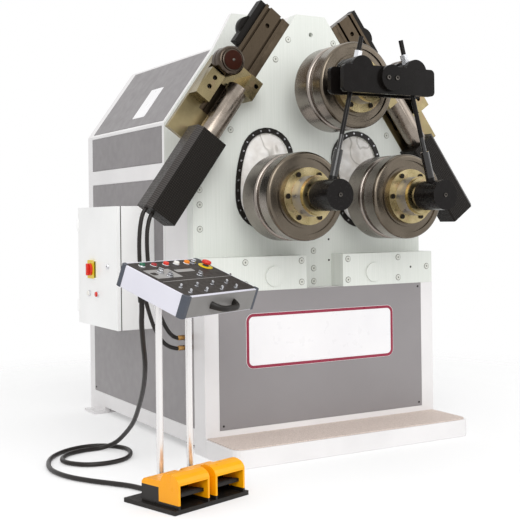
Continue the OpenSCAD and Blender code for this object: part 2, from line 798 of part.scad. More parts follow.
// Yoke
yoke_low_share = 0.58;
yoke_z = top_roll_z - yoke_h * yoke_low_share;
yoke_end_r = 20;
lug_pin_r = 16;
module yoke_plate(y) {
  difference() {
    sheet_y(y, y + yoke_t) {
      translate([-yoke_x + yoke_end_r, yoke_z]) square([2 * yoke_x - 2 * yoke_end_r, yoke_h]);
      translate([-yoke_x, yoke_z + yoke_end_r]) square([2 * yoke_x, yoke_h - 2 * yoke_end_r]);
      for (x = [-1, 1], z = [yoke_z + yoke_end_r, yoke_z + yoke_h - yoke_end_r])
        translate([x * (yoke_x - yoke_end_r), z]) circle(r = yoke_end_r);
      for (x = [-lug_x, lug_x]) translate([x, lug_z]) circle(r = lug_r);
    }
    for (x = [-lug_x, lug_x]) at_xz(x, lug_z) rod_y(lug_pin_r + run, y - over, y + yoke_t + over);
  }
}
module yoke() color("black") difference() {
  union() {
    yoke_plate(yoke_front_y);
    yoke_plate(yoke_back_y - yoke_t);
    at_xz(0, top_roll_z) rod_y(journal_r + wall / 2, shaft_end_y - cap_t, yoke_back_y);
  }
  at_xz(0, top_roll_z) rod_y(journal_r + run, shaft_end_y - gap, yoke_back_y + over);
}

// Swivel lugs and tie rods, drawn for the right roll
rod_play = 6;
lean = atan2(lug_x - low_roll_x, lug_z - low_roll_z);
tie_l = norm([lug_x - low_roll_x, lug_z - low_roll_z]);
lug_flat_share = 0.8;
lug_flat = lug_r * lug_flat_share;
module tie_frame() {
  translate([low_roll_x, tie_y, low_roll_z]) rotate([0, lean, 0]) children();
}
module swivel_lug() {
  difference() {
    union() {
      at_xz(lug_x, lug_z) rod_y(lug_r, tie_y - yoke_gap / 2 + gap, tie_y + yoke_gap / 2 - gap);
      at_xz(lug_x, lug_z) rod_y(lug_pin_r, yoke_front_y, yoke_back_y);
    }
    tie_frame() cylinder(r = rod_r + rod_play, h = tie_l + 2 * lug_r);
    tie_frame() translate([-lug_r, -yoke_gap, tie_l + lug_flat]) cube([2 * lug_r, 2 * yoke_gap, lug_r]);
  }
}
module tie_rod() {
  difference() {
    union() {
      at_xz(low_roll_x, low_roll_z) rod_y(hub_r, hub_front_y, hub_back_y);
      tie_frame() cylinder(r = sleeve_r, h = hub_r + sleeve_l);
      tie_frame() cylinder(r = rod_r, h = tie_l + lug_flat + rod_top);
    }
    at_xz(low_roll_x, low_roll_z) rod_y(journal_r + run, shaft_end_y - gap, hub_back_y + over);
  }
  for (k = [0, 1]) tie_frame() translate([0, 0, tie_l + lug_flat + gap + k * rod_nut_h]) difference() {
    cylinder(r = rod_nut_r, h = rod_nut_h, $fn = 6);
    translate([0, 0, -over]) cylinder(r = rod_r, h = rod_nut_h + 2 * over);
  }
}
module right_lug() color("black") swivel_lug();
module left_lug() color("black") mirror([1, 0, 0]) swivel_lug();
module right_tie_rod() color("black") tie_rod();
module left_tie_rod() color("black") mirror([1, 0, 0]) tie_rod();

// Side guides, drawn for the left side: Z runs up the head's slant and X points into the head
guide_turn = atan2(half_w - head_top_x, head_top_z - head_side_z);
guard_y = front_y - guard_front;
tube_y = guard_y + guard_d / 2;
rail_y = face_y;
plate_t = 20;
carriage_t = 30;
carriage_from = 415;
carriage_to = 545;
carriage_y = rail_y - gap - carriage_t;
tube_in = 515;
guide_pin_r = 20;
guide_rim_share = 0.8;
guide_l_share = 0.6;
module guide_frame() {
  translate([-half_w, 0, head_side_z]) rotate([0, guide_turn, 0]) children();
}
bracket_from = 110;
bracket_to = 515;
bracket_w = 225;
bracket_flange = 30;
module guide_brackets() color("darkkhaki") both_sides() guide_frame() {
  span([-plate_t, 0], [face_y, face_y + rail_t], [bracket_from, rail_to]);
  span([-rail_off, -plate_t + over], [rail_y, rail_y + rail_t], [rail_from, rail_to]);
  span([-bracket_w, 0], [face_y, face_y + bracket_flange], [bracket_from, rail_from]);
  span([-bracket_w, rail_x0], [face_y, face_y + bracket_flange], [bracket_from, bracket_to]);
}

rail_x0 = -rail_off - rail_w;
groove_in_share = 0.18;
rail_hole_share = 0.7;
groove_in = rail_w * groove_in_share;
module guide_rails() color("gray") both_sides() guide_frame() difference() {
  span([rail_x0, -rail_off], [rail_y, rail_y + rail_t], [rail_from, rail_to]);
  for (x = [rail_x0 + groove_in, -rail_off - groove_in])
    span([x - rail_groove_w / 2, x + rail_groove_w / 2], [rail_y - over, rail_y + rail_groove_d],
         [rail_from - over, rail_to + over]);
  translate([rail_x0 + rail_w / 2, 0, rail_to - rail_w * rail_hole_share])
    rod_y(bolt_r, rail_y - over, rail_y + rail_groove_d);
}

guard_x0 = -guard_off - guard_w / 2;
guard_bevel = 24;
cover_w = 30;
cover_from = 640;
cover_at = 738;
cover_disc_r = 55;
cover_y = rail_y + 2 * rail_groove_w;
module guide_guards() color("black") both_sides() guide_frame() {
  guard_sleeve();
  span([rail_x0 - cover_w, rail_x0], [rail_y + rail_groove_w, rail_y + rail_t], [cover_from, rail_to]);
  difference() {
    translate([rail_x0, 0, cover_at]) rod_y(cover_disc_r, cover_y, rail_y + rail_t);
    span([rail_x0, 0], [rail_y - over, rail_y + 2 * rail_t], [rail_from, rail_to]);
  }
}
module guard_sleeve() difference() {
  translate([0, 0, guard_from]) linear_extrude(guard_l) polygon([
    [guard_x0, guard_y + guard_d], [guard_x0, guard_y + guard_bevel], [guard_x0 + guard_bevel, guard_y],
    [guard_x0 + guard_w - guard_bevel / 4, guard_y], [guard_x0 + guard_w, guard_y + guard_bevel / 4],
    [guard_x0 + guard_w, guard_y + guard_d]
  ]);
  translate([-guard_off, tube_y, guard_from + guard_wall]) cylinder(r = tube_r + 2 * gap, h = guard_l);
}

carriage_back_y = carriage_y + carriage_t;
bar_from = 290;
bar_to = 430;
bar_w = 75;
bar_y = carriage_back_y - bar_w;
ear_x = 7;
ear_w = 66;
ear_l = 98;
hole_shares = [0.42, 0.76];
ear_hole_shares = [0.33, 0.67];
module carriage() guide_frame() difference() {
  union() {
    span([-bracket_w, ear_x], [carriage_y, carriage_back_y], [carriage_from, carriage_to]);
    span([-bracket_w, bar_w - bracket_w], [bar_y, carriage_back_y], [bar_from, bar_to]);
    span([ear_x - ear_w, ear_x], [guard_y + plate_t / 2, carriage_y + over],
         [carriage_from, carriage_from + ear_l]);
    for (x = [rail_x0 + groove_in, -rail_off - groove_in])
      span([x - rail_groove_w / 2 + gap, x + rail_groove_w / 2 - gap],
           [carriage_y, rail_y + rail_groove_d - gap], [carriage_from, carriage_to]);
    translate([-guard_off, tube_y, carriage_from - tube_in]) cylinder(r = tube_r, h = tube_in + plate_t);
    translate([-guide_off, 0, guide_at])
      rod_y(guide_pin_r, carriage_y - guide_l - 2 * gap, carriage_y + over);
  }
  for (k = hole_shares) translate([bar_w / 2 - bracket_w, 0, bar_from + k * (bar_to - bar_from)])
    rod_y(bolt_r, bar_y - over, bar_y + plate_t);
  translate([ear_x - ear_w * ear_hole_shares[0], 0, carriage_from + ear_l * ear_hole_shares[1]])
    rod_y(bolt_r, guard_y, guard_y + 2 * plate_t);
}
module left_carriage() color("darkkhaki") carriage();
module right_carriage() color("darkkhaki") mirror([1, 0, 0]) carriage();

module guide_roller() guide_frame() translate([-guide_off, 0, guide_at]) difference() {
  union() {
    rod_y(guide_r, carriage_y - gap - guide_l * guide_l_share, carriage_y - gap);
    rod_y(guide_r * guide_rim_share, carriage_y - gap - guide_l, carriage_y - gap);
  }
  rod_y(guide_pin_r + run, carriage_y - 2 * guide_l, carriage_y + over);
}
module left_guide_roller() color("dimgray") guide_roller();
module right_guide_roller() color("dimgray") mirror([1, 0, 0]) guide_roller();

// Switch cabinet on the left side
cabinet_x = -half_w - cabinet_w;
cabinet_front_y = front_y + cabinet_y;
cabinet_back_y = cabinet_front_y + cabinet_d;
cabinet_top_z = cabinet_z + cabinet_h;
door_x = cabinet_x + door_d;
module switch_cabinet() color("white") difference() {
  span([door_x, -half_w], [cabinet_front_y, cabinet_back_y], [cabinet_z, cabinet_top_z]);
  span([door_x - over, -half_w - cabinet_t], [cabinet_front_y + cabinet_t, cabinet_back_y - cabinet_t],
       [cabinet_z + cabinet_t, cabinet_top_z - cabinet_t]);
}
switch_y_share = 0.615;
switch_z_share = 0.475;
switch_y = cabinet_front_y + cabinet_d * switch_y_share;
switch_z = cabinet_z + cabinet_h * switch_z_share;
switch_r = 30;
switch_base = 90;
switch_stand = 10;
switch_shaft_r = 6;
handle_h = 15;
small_button_y_shares = [0.695, 0.483];
small_button_z_share = 0.27;
lock_y_share = 0.22;
lock_z_share = 0.51;
module door_at(y_share, z_share) {
  translate([cabinet_x + over, cabinet_front_y + y_share * cabinet_d, cabinet_z + z_share * cabinet_h])
    rotate([0, -90, 0]) children();
}
hinge_r = 7;
hinge_l = 60;
hinge_shares = [0.15, 0.85];
module cabinet_door() color("white") difference() {
  union() {
    span([cabinet_x, door_x - gap], [cabinet_front_y, cabinet_back_y], [cabinet_z, cabinet_top_z]);
    span([cabinet_x - switch_stand, cabinet_x], [switch_y - switch_base / 2, switch_y + switch_base / 2],
         [switch_z - switch_base / 2, switch_z + switch_base / 2]);
    for (k = small_button_y_shares)
      door_at(k, small_button_z_share) cylinder(r = button_r, h = button_h + over);
    door_at(lock_y_share, lock_z_share) cylinder(r = button_r, h = button_h / 2 + over);
    for (k = hinge_shares)
      translate([cabinet_x, cabinet_back_y, cabinet_z + k * cabinet_h - hinge_l / 2]) rotate([0, 0, 45])
        cylinder(r = hinge_r, h = hinge_l);
  }
  span([cabinet_x + cabinet_t, door_x + over], [cabinet_front_y + cabinet_t, cabinet_back_y - cabinet_t],
       [cabinet_z + cabinet_t, cabinet_top_z - cabinet_t]);
  translate([cabinet_x + cabinet_t + over, switch_y, switch_z]) rotate([0, -90, 0])
    cylinder(r = switch_shaft_r + run, h = switch_stand + cabinet_t + 3 * over);
}
module main_switch() color("red")
  translate([cabinet_x - switch_stand, switch_y, switch_z]) rotate([0, -90, 0]) {
  translate([0, 0, gap]) cylinder(r = switch_r, h = switch_stand);
  translate([0, 0, -switch_stand]) cylinder(r = switch_shaft_r, h = 2 * switch_stand);
  translate([-switch_r, -switch_r / 4, switch_stand]) cube([2 * switch_r, switch_r / 2, handle_h]);
}

// Control desk: Z is square to its top, X along its width, -Y towards the operator
desk_x = -900;
desk_y = -1156;
module desk_frame() {
  translate([desk_x, desk_y, desk_z]) rotate([0, 0, desk_turn]) rotate([desk_tilt, 0, 0]) children();
}
trim_w = 19;
desk_wall = 4;
stop_at_shares = [0.39, 0.24];
button_at_shares = [-0.36, 0.36];
lever_at_shares = [-0.26, 0.045];
module desk_at(at) {
  desk_frame() translate([at[0] * desk_w, at[1] * desk_l, 0]) children();
}
handle_out = 46;
handle_r = 11;
// Box with its four corners left free for the corner posts
module desk_outline(inset) {
  square([desk_w - 2 * inset, desk_l - 2 * trim_w - 2 * inset], center = true);
  square([desk_w - 2 * trim_w - 2 * inset, desk_l - 2 * inset], center = true);
}
module control_desk() color("lavender") difference() {
  desk_frame() difference() {
    translate([0, 0, -desk_t]) linear_extrude(desk_t) desk_outline(0);
    translate([0, 0, desk_wall - desk_t]) linear_extrude(desk_t - 2 * desk_wall) desk_outline(desk_wall);
  }
  for (at = [stop_at_shares, button_at_shares, lever_at_shares])
    desk_at(at) translate([0, 0, -2 * desk_wall]) cylinder(r = button_r / 2 + run, h = 3 * desk_wall);
}
module desk_trim() color("darkslategray") {
  desk_gland();
  desk_edges();
}
module desk_edges() desk_frame() {
  for (s = [0, 1], t = [0, 1]) mirror([s, 0, 0]) mirror([0, t, 0])
    translate([desk_w / 2 - trim_w, desk_l / 2 - trim_w, -desk_t]) linear_extrude(desk_t) intersection() {
      square(trim_w);
      circle(r = trim_w);
    }
  for (s = [-1, 1]) translate([s * handle_w / 2, -desk_l / 2, -desk_t / 2]) rotate([90, 0, 0])
    cylinder(r = handle_r, h = handle_out);
  translate([-handle_w / 2 - handle_r, -desk_l / 2 - handle_out, -desk_t / 2]) rotate([0, 90, 0])
    cylinder(r = handle_r, h = handle_w + 2 * handle_r);
}
// Cable gland under the desk, on the cable's axis
gland_r = 16;
module desk_gland() difference() {
  translate(cable_route[0]) cylinder(r = gland_r, h = desk_t);
  desk_frame() translate([-desk_w, -desk_w, -desk_t]) cube(2 * desk_w);
}
press = 5;
module plunger(r, h) {
  translate([0, 0, press + gap]) cylinder(r = r, h = h);
  translate([0, 0, -desk_wall]) cylinder(r = button_r / 2, h = press + desk_wall + 2 * gap);
}
module emergency_stop() color("red") desk_at(stop_at_shares) plunger(mushroom_r, button_h);
module push_button() color("green") desk_at(button_at_shares) plunger(button_r, button_h);
module selector_lever() color("silver") desk_at(lever_at_shares) {
  plunger(button_r, button_h / 2);
  translate([0, 0, press]) cylinder(r = lever_r, h = lever_l);
}

// Foot switch and stand
foot_x = -975;
foot_y = -1240;
pole_x_shares = [-0.11, 0.3];
pole_y_share = 0.36;
pedal_x_share = 0.245;
module foot_frame() {
  translate([foot_x, foot_y, 0]) rotate([0, 0, foot_turn]) children();
}
function pole_at(k) = [pole_x_shares[k] * foot_w, pole_y_share * foot_d];
function turned(p, a) = [p[0] * cos(a) - p[1] * sin(a), p[0] * sin(a) + p[1] * cos(a)];
function pole_place(k) = [foot_x, foot_y] + turned(pole_at(k), foot_turn);
socket_h = 34;
socket_r = 21;
module foot_plate() color("black") foot_frame() {
  translate([-foot_w / 2, -foot_d / 2, 0]) cube([foot_w, foot_d, foot_t]);
  for (k = [0, 1]) translate([pole_at(k)[0], pole_at(k)[1], foot_t]) difference() {
    cylinder(r = socket_r, h = socket_h);
    cylinder(r = pole_r, h = socket_h + over);
  }
}
module stand_poles() color("silver") for (k = [0, 1]) difference() {
  translate([pole_place(k)[0], pole_place(k)[1], foot_t]) cylinder(r = pole_r, h = desk_z);
  desk_frame() translate([-desk_w, -desk_w, -desk_t]) cube(2 * desk_w);
}
pedal_y0 = -foot_d / 2 + over;
module pedal_frame(s) {
  foot_frame() translate([s * pedal_x_share * foot_w, pedal_y0, foot_t]) children();
}
pedal_brow_share = 0.55;
pedal_crown_shares = [0.3, 0.8, 0.6];
pedal_hinge_share = 0.7;
pedal_l_shares = [0.6, 0.65];
pedal_hinge_y = pedal_guard_d * pedal_hinge_share;
pedal_pin_share = 0.17;
pedal_hinge_z = pedal_guard_h * pedal_pin_share;
module guard_profile(inset) {
  polygon([
    [inset, -inset],
    [inset, pedal_guard_h * pedal_brow_share],
    [pedal_guard_d * pedal_crown_shares[0] + inset, pedal_guard_h - inset],
    [pedal_guard_d * pedal_crown_shares[1], pedal_guard_h - inset],
    [pedal_guard_d - inset, pedal_guard_h * pedal_crown_shares[2]],
    [pedal_guard_d - inset, -inset]
  ]);
}
module pedal_guard(s) pedal_frame(s) difference() {
  translate([-pedal_guard_w / 2, 0, 0]) rotate([90, 0, 90]) linear_extrude(pedal_guard_w) guard_profile(0);
  translate([pedal_wall - pedal_guard_w / 2, 0, 0]) rotate([90, 0, 90])
    linear_extrude(pedal_guard_w - 2 * pedal_wall) guard_profile(pedal_wall);
  translate([pedal_wall - pedal_guard_w / 2, -over, -over])
    cube([pedal_guard_w - 2 * pedal_wall, 3 * pedal_wall, pedal_guard_h * pedal_brow_share + over]);
  translate([-pedal_guard_w, pedal_hinge_y, pedal_hinge_z]) rotate([0, 90, 0])
    cylinder(r = pedal_pin_r + run, h = 2 * pedal_guard_w);
}
module pedal_guards() color("orange") for (s = [-1, 1]) pedal_guard(s);
pedal_pin_r = 6;
pedal_tilt = 6;
pedal_t = 12;
module pedal(s) pedal_frame(s) translate([0, pedal_hinge_y, pedal_hinge_z]) {
  rotate([0, 90, 0]) translate([0, 0, -pedal_guard_w / 2]) cylinder(r = pedal_pin_r, h = pedal_guard_w);
  rotate([-pedal_tilt, 0, 0])
    translate([pedal_wall + gap - pedal_guard_w / 2, -pedal_guard_d * pedal_l_shares[0], 0])
      cube([pedal_guard_w - 2 * pedal_wall - 2 * gap, pedal_guard_d * pedal_l_shares[1], pedal_t]);
}
module left_pedal() color("black") pedal(-1);
module right_pedal() color("black") pedal(1);

// Cords: a round tube swept along points chosen by hand
cable_r = 10;
hose_r = 9;
sides = 8;
cable_route = [
  [-1088, -1102, 722], [-1088, -1102, 690], [-1081, -1082, 640], [-1060, -1045, 560], [-1030, -990, 470],
  [-990, -880, 370], [-950, -740, 270], [-915, -590, 170], [-900, -450, 90], [-915, -365, 36],
  [-960, -320, 11], [-1040, -325, 11], [-1130, -360, 11], [-1185, -440, 11], [-1180, -520, 11],
  [-1120, -590, 11], [-1030, -605, 11], [-945, -570, 11], [-890, -490, 11], [-872, -400, 11],
  [-900, -325, 11], [-960, -270, 11], [-1040, -262, 11], [-1130, -300, 11], [-1210, -380, 11],
  [-1262, -490, 11], [-1282, -610, 11], [-1262, -730, 11], [-1210, -840, 11], [-1150, -930, 11],
  [-1105, -1000, 11], [-1080, -1065, 11], [-1062, -1120, 11]
];
hose_a_route = [
  [-880, -671, 1087], [-894, -671, 1066], [-904, -670, 1030], [-910, -668, 980], [-910, -662, 910],
  [-902, -652, 830], [-884, -640, 740], [-856, -625, 650], [-816, -606, 560], [-766, -590, 495],
  [-708, -577, 468], [-665, -577, 468]
];
hose_b_route = [
  [-850, -671, 1066], [-863, -671, 1046], [-872, -670, 1012], [-876, -668, 970], [-873, -662, 900],
  [-862, -652, 820], [-842, -640, 740], [-814, -625, 662], [-778, -606, 590], [-738, -590, 536],
  [-698, -577, 513], [-665, -577, 513]
];
function unit(v) = v / norm(v);
function tangent(path, i) = unit(path[min(i + 1, len(path) - 1)] - path[max(i - 1, 0)]);
// Side direction carried along the route without twisting
function side_at(path, i) =
  let (t = tangent(path, i), a = i == 0 ? cross(t, [0, 1, 0]) : side_at(path, i - 1))
  unit(a - (a * t) * t);
function ring_at(path, i, r) =
  let (a = side_at(path, i), b = cross(tangent(path, i), a))
  [for (k = [0:sides - 1]) path[i] + r * cos(360 * k / sides) * a + r * sin(360 * k / sides) * b];
module cord(path, r) {
  n = len(path);
  points = [for (i = [0:n - 1]) each ring_at(path, i, r)];
  faces = [
    [for (k = [sides - 1:-1:0]) k],
    [for (k = [0:sides - 1]) (n - 1) * sides + k],
    for (i = [0:n - 2], k = [0:sides - 1])
      let (a = i * sides + k, b = i * sides + (k + 1) % sides)
      each [[a, b, b + sides], [a, b + sides, a + sides]]
  ];
  polyhedron(points, faces);
}
module control_cable() color("black") cord(cable_route, cable_r);
module hydraulic_hoses() color("black") {
  cord(hose_a_route, hose_r);
  cord(hose_b_route, hose_r);
}

base_frame();
base_panels();
front_step();
step_tread();
face_plate();
head_housing();
rear_housing();
housing_panels();
bearing_plate();
apron_plates();
trunnion_covers();
slot_rings();
face_screws();
left_gaiter();
right_gaiter();
left_arm();
right_arm();
left_motor();
right_motor();
top_motor();
top_shaft();
left_shaft();
right_shaft();
top_roll();
left_roll();
right_roll();
top_clamp();
left_clamp();
right_clamp();
left_cylinder();
right_cylinder();
left_piston();
right_piston();
yoke();
left_lug();
right_lug();
left_tie_rod();
right_tie_rod();
guide_brackets();
guide_rails();
guide_guards();
left_carriage();
right_carriage();
left_guide_roller();
right_guide_roller();
switch_cabinet();
cabinet_door();
main_switch();
control_desk();
desk_trim();
emergency_stop();
push_button();
selector_lever();
stand_poles();
foot_plate();
pedal_guards();
left_pedal();
right_pedal();
control_cable();
hydraulic_hoses();
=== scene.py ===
import math
from types import SimpleNamespace

import bmesh
import bpy
from mathutils import Matrix, Vector, noise


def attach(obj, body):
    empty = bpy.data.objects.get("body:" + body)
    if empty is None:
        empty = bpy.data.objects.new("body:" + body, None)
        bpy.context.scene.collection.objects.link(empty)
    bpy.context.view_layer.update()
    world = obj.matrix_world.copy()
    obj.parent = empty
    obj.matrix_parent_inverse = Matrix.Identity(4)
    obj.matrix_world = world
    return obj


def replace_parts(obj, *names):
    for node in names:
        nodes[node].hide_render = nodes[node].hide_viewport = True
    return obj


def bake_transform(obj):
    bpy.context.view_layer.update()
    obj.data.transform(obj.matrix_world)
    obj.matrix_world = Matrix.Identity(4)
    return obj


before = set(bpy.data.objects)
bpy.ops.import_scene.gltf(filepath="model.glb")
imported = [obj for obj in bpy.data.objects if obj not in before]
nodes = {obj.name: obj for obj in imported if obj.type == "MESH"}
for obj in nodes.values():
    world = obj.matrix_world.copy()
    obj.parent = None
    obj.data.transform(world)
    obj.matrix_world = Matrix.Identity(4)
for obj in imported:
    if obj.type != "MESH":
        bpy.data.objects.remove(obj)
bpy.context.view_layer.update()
scene = bpy.context.scene
print("frame loaded:", len(nodes), "nodes")


# Colours are written as sRGB hex and used as linear light
def linear(hexText):
    out = []
    for k in (0, 2, 4):
        c = int(hexText[k:k + 2], 16) / 255
        out.append(c / 12.92 if c <= 0.04045 else ((c + 0.055) / 1.055) ** 2.4)
    return (*out, 1.0)


def assign(thing, **values):
    for key, value in values.items():
        setattr(thing, key, value)
    return thing


def addObject(name, data):
    made = bpy.data.objects.new(name, data)
    scene.collection.objects.link(made)
    return made


def dress(made, body):
    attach(made, body)
    return made


def moved(x, y, z):
    return Matrix.Translation((x, y, z))


def turnedBy(degrees, axis):
    return Matrix.Rotation(math.radians(degrees), 4, axis)


def aimed(place, along):
    return moved(*place) @ Vector(along).to_track_quat("-Z", "Y").to_matrix().to_4x4()


# Camera at the photograph's place, level, with a slight roll and a downward shift
cameraSpec = {
    "place": (-2.5925, -4.649, 1.0324), "along": (0.4955, 0.8686, 0.0), "roll": -0.7,
    "data": {"lens": 70.1, "sensor_width": 36, "shift_y": -0.078, "clip_end": 100},
}
camera = addObject("camera", assign(bpy.data.cameras.new("camera"), **cameraSpec["data"]))
camera.matrix_world = aimed(cameraSpec["place"], cameraSpec["along"]) @ turnedBy(cameraSpec["roll"], "Z")
scene.camera = camera
scene.view_settings.view_transform = "Standard"
print("camera set")


# Maths on node sockets
class Wire:
    def __init__(self, owner, socket):
        self.owner, self.socket = owner, socket

    def out(self, name):
        return Wire(self.owner, self.socket.node.outputs[name])

    def math(self, operation, *others):
        return self.owner.node("ShaderNodeMath", {"operation": operation}, dict(enumerate((self, *others))))

    def __add__(self, other):
        return self.math("ADD", other)

    def __sub__(self, other):
        return self.math("SUBTRACT", other)

    def __rsub__(self, other):
        return self.owner.node("ShaderNodeMath", {"operation": "SUBTRACT"}, {0: other, 1: self})

    def __mul__(self, other):
        return self.math("MULTIPLY", other)

    __radd__ = __add__
    __rmul__ = __mul__

    def over(self, limit):
        return self.math("GREATER_THAN", limit)

    def under(self, limit):
        return self.math("LESS_THAN", limit)

    def within(self, low, high):
        return self.over(low) * self.under(high)

    def spread(self, low, high, toLow=0.0, toHigh=1.0):
        return self.owner.node("ShaderNodeMapRange", None, {0: self, 1: low, 2: high, 3: toLow, 4: toHigh})


# A node tree, with one method for any node
class Tree:
    def __init__(self, tree):
        self.tree = tree

    def put(self, socket, value):
        if isinstance(value, Wire):
            self.tree.links.new(value.socket, socket)
        else:
            socket.default_value = value

    def node(self, kind, settings=None, sockets=None, out=0):
        made = assign(self.tree.nodes.new(kind), **(settings or {}))
        for key, value in (sockets or {}).items():
            self.put(made.inputs[key], value)
        return Wire(self, made.outputs[out]) if made.outputs else None


# A material on Object coordinates, which are world metres at rest
class Look(Tree):
    def __init__(self, name, rough=0.5, metal=0.0, coat=0.0, coatRough=0.1, level=0.5):
        self.material = bpy.data.materials.new(name)
        self.material.use_nodes = True
        super().__init__(self.material.node_tree)
        self.shader = self.tree.nodes["Principled BSDF"]
        self.feed("Roughness", rough).feed("Metallic", metal).feed("Specular IOR Level", level)
        self.feed("Coat Weight", coat).feed("Coat Roughness", coatRough)
        self.place = self.node("ShaderNodeTexCoord", out="Object")

    def feed(self, socket, value):
        self.put(self.shader.inputs[socket], value)
        return self

    def axes(self):
        split = self.node("ShaderNodeSeparateXYZ", None, {0: self.place})
        return [split.out(axis) for axis in "XYZ"]

    def noise(self, scale, detail=3.0, stretch=(1, 1, 1)):
        shape = self.node("ShaderNodeMapping", None, {"Vector": self.place, "Scale": stretch})
        return self.node("ShaderNodeTexNoise", None, {"Vector": shape, "Scale": scale, "Detail": detail})

    def round(self, centre):
        x, y, z = self.axes()
        dx, dz = x - centre[0], z - centre[1]
        return (dx * dx + dz * dz).math("SQRT")

    def mix(self, factor, *tones):
        first, second = (linear(tone) if isinstance(tone, str) else tone for tone in tones)
        return self.node("ShaderNodeMix", {"data_type": "RGBA"}, {0: factor, 6: first, 7: second}, 2)

    def roughen(self, scale, low, high, detail=3.0):
        return self.feed("Roughness", self.noise(scale, detail).spread(0.3, 0.7, low, high))

    def tint(self, factor, *tones):
        return self.feed("Base Color", self.mix(factor, *tones))

    def bumped(self, height, strength, distance):
        sockets = {"Strength": strength, "Distance": distance, "Height": height}
        return self.feed("Normal", self.node("ShaderNodeBump", None, sockets)).material


def paintTone(look, tones):
    return look.mix(look.noise(3.5, 4.0).spread(0.35, 0.7), *tones)


# Painted sheet and plate: a little mottle and fine orange peel, in another tone where a mask is set
def paintLook(name, light, dark, rough=0.42, coat=0.15, peel=0.12, level=0.5, mask=None, other=None):
    look = Look(name, rough, coat=coat, coatRough=0.2, level=level)
    tone = paintTone(look, (light, dark))
    look.feed("Base Color", look.mix(mask(look), tone, other) if mask else tone)
    look.roughen(22, rough - 0.06, rough + 0.1)
    return look.bumped(look.noise(420, 2.0), peel, 0.0006)


def plasticLook(name, light, dark, rough=0.35, grain=0.15, level=0.5):
    look = Look(name, rough, level=level)
    look.tint(look.noise(60), light, dark)
    look.roughen(90, rough - 0.05, rough + 0.1, 2.0)
    return look.bumped(look.noise(1500, 2.0), grain, 0.0003)


def steelLook(name, light, dark, rough, stretch=(1, 1, 1), scale=40, grain=0.1):
    look = Look(name, rough, metal=1.0)
    brushed = look.noise(scale, 4.0, stretch)
    look.tint(brushed.spread(0.3, 0.7), light, dark)
    look.feed("Roughness", brushed.spread(0.3, 0.7, rough - 0.05, rough + 0.08))
    return look.bumped(brushed, grain, 0.0003)


# Bright drawn tube: steel that keeps a white body under its shine
def poleLook():
    look = Look("poleSteel", 0.2, metal=0.72)
    drawn = look.noise(150, 2.0, (1, 1, 0.01)).spread(0.3, 0.7)
    look.tint(drawn, "f3f1f0", "e6e4e3")
    look.feed("Roughness", drawn.spread(0.0, 1.0, 0.16, 0.24))
    return look.material


# Yellow zinc plate: straw, olive and a rosy bloom over one another
def zincTone(look, scales, straw, olive, bloom):
    base = look.mix(look.noise(scales[0], 4.0).spread(0.35, 0.65), straw, olive)
    return look.mix(look.noise(scales[1]).spread(0.55, 0.75), base, bloom)


def brassLook():
    look = Look("brassFit", 0.25, metal=1.0)
    look.feed("Base Color", zincTone(look, (7, 11), "bd9660", "9a7442", "b5835a"))
    look.roughen(35, 0.19, 0.35)
    return look.bumped(look.noise(240), 0.08, 0.0005)


lookSpec = {
    "frame": ("eae8e8", "e2e0e0"),
    "face": ("e2e5df", "dbdfd8"),
    "wall": ("dfe1dc", "d8dbd5"),
    "brown": ("594e41", "473e33"),
    "toolLines": (14, 1, 0.12),
}
# Light and dark tone, roughness, coat, orange peel and specular level
paintSpec = {
    "frame": lookSpec["frame"],
    "panel": ("8f8b8c", "8b8788", 0.46, 0.08),
    "housing": ("848081", "807c7d", 0.46, 0.08),
    "cabinet": ("fbfbfa", "f4f4f3", 0.38),
    "desk": ("e0dfe8", "d7d6e0", 0.4),
    "deskGrey": ("9b9997", "8f8d8b", 0.45),
    "frontGrey": ("858381", "7b7977", 0.45),
    "black": ("141110", "0d0b09", 0.22, 0.0, 0.12, 0.12),
    "motor": ("4a515c", "3d434d", 0.45),
    "iron": ("6e6c68", "5c5a56", 0.6),
    "signWhite": ("f3f2f3", "edecee", 0.3),
    "signCrimson": ("941a3c", "8a1736", 0.3),
    # Painted shade: grey for the dark gap round the face screw heads
    "boreGrey": ("8f8f88", "7d7d76", 0.6, 0.0, 0.12, 0.2),
    "screwPale": ("dddfd7", "cdcfc7", 0.3, 0.15, 0.02),
}
# Light and dark tone, roughness, grain and specular level
plasticSpec = {
    "black": ("1f1b18", "161310", 0.42, 0.15, 0.3),
    "trim": ("4a4f59", "40444d", 0.5),
    "red": ("e2331f", "c92415", 0.28),
    "deepRed": ("a5151d", "8c1018", 0.25),
    "green": ("1d6b4e", "145540", 0.28),
    "white": ("f2f0ea", "e2e0da", 0.3),
    "orange": ("ee8a12", "dd7a0a", 0.28),
    "yellow": ("efd21c", "dcc012"),
    "capRed": ("37190f", "28110a", 0.5, 0.15, 0.06),
    "rubber": ("241f1c", "191513", 0.36, 0.2, 0.35),
}
# Light and dark tone, roughness, stretch of the brushing, its scale and grain
steelSpec = {
    "chrome": ("e6e6e8", "d2d2d6", 0.1, (1, 1, 1), 30, 0.02),
    "zinc": ("c9cacd", "a9aaae", 0.24, (1, 1, 1), 60),
    "dark": ("64605b", "4c4844", 0.25, (1, 1, 1), 60),
    "shaft": ("b3aca3", "8f887f", 0.26, (1, 60, 1)),
    "ring": ("5a5047", "463e36", 0.2, (1, 1, 1), 30, 0.02),
    "rail": (*lookSpec["brown"], 0.3, (60, 1, 1)),
}


def lookSet(make, kind, table):
    return SimpleNamespace(**{name: make(name + kind, *values) for name, values in table.items()})


paint = lookSet(paintLook, "Paint", paintSpec)
plastic = lookSet(plasticLook, "Plastic", plasticSpec)
steel = lookSet(steelLook, "Steel", steelSpec)
poleSteel = poleLook()
brassFit = brassLook()


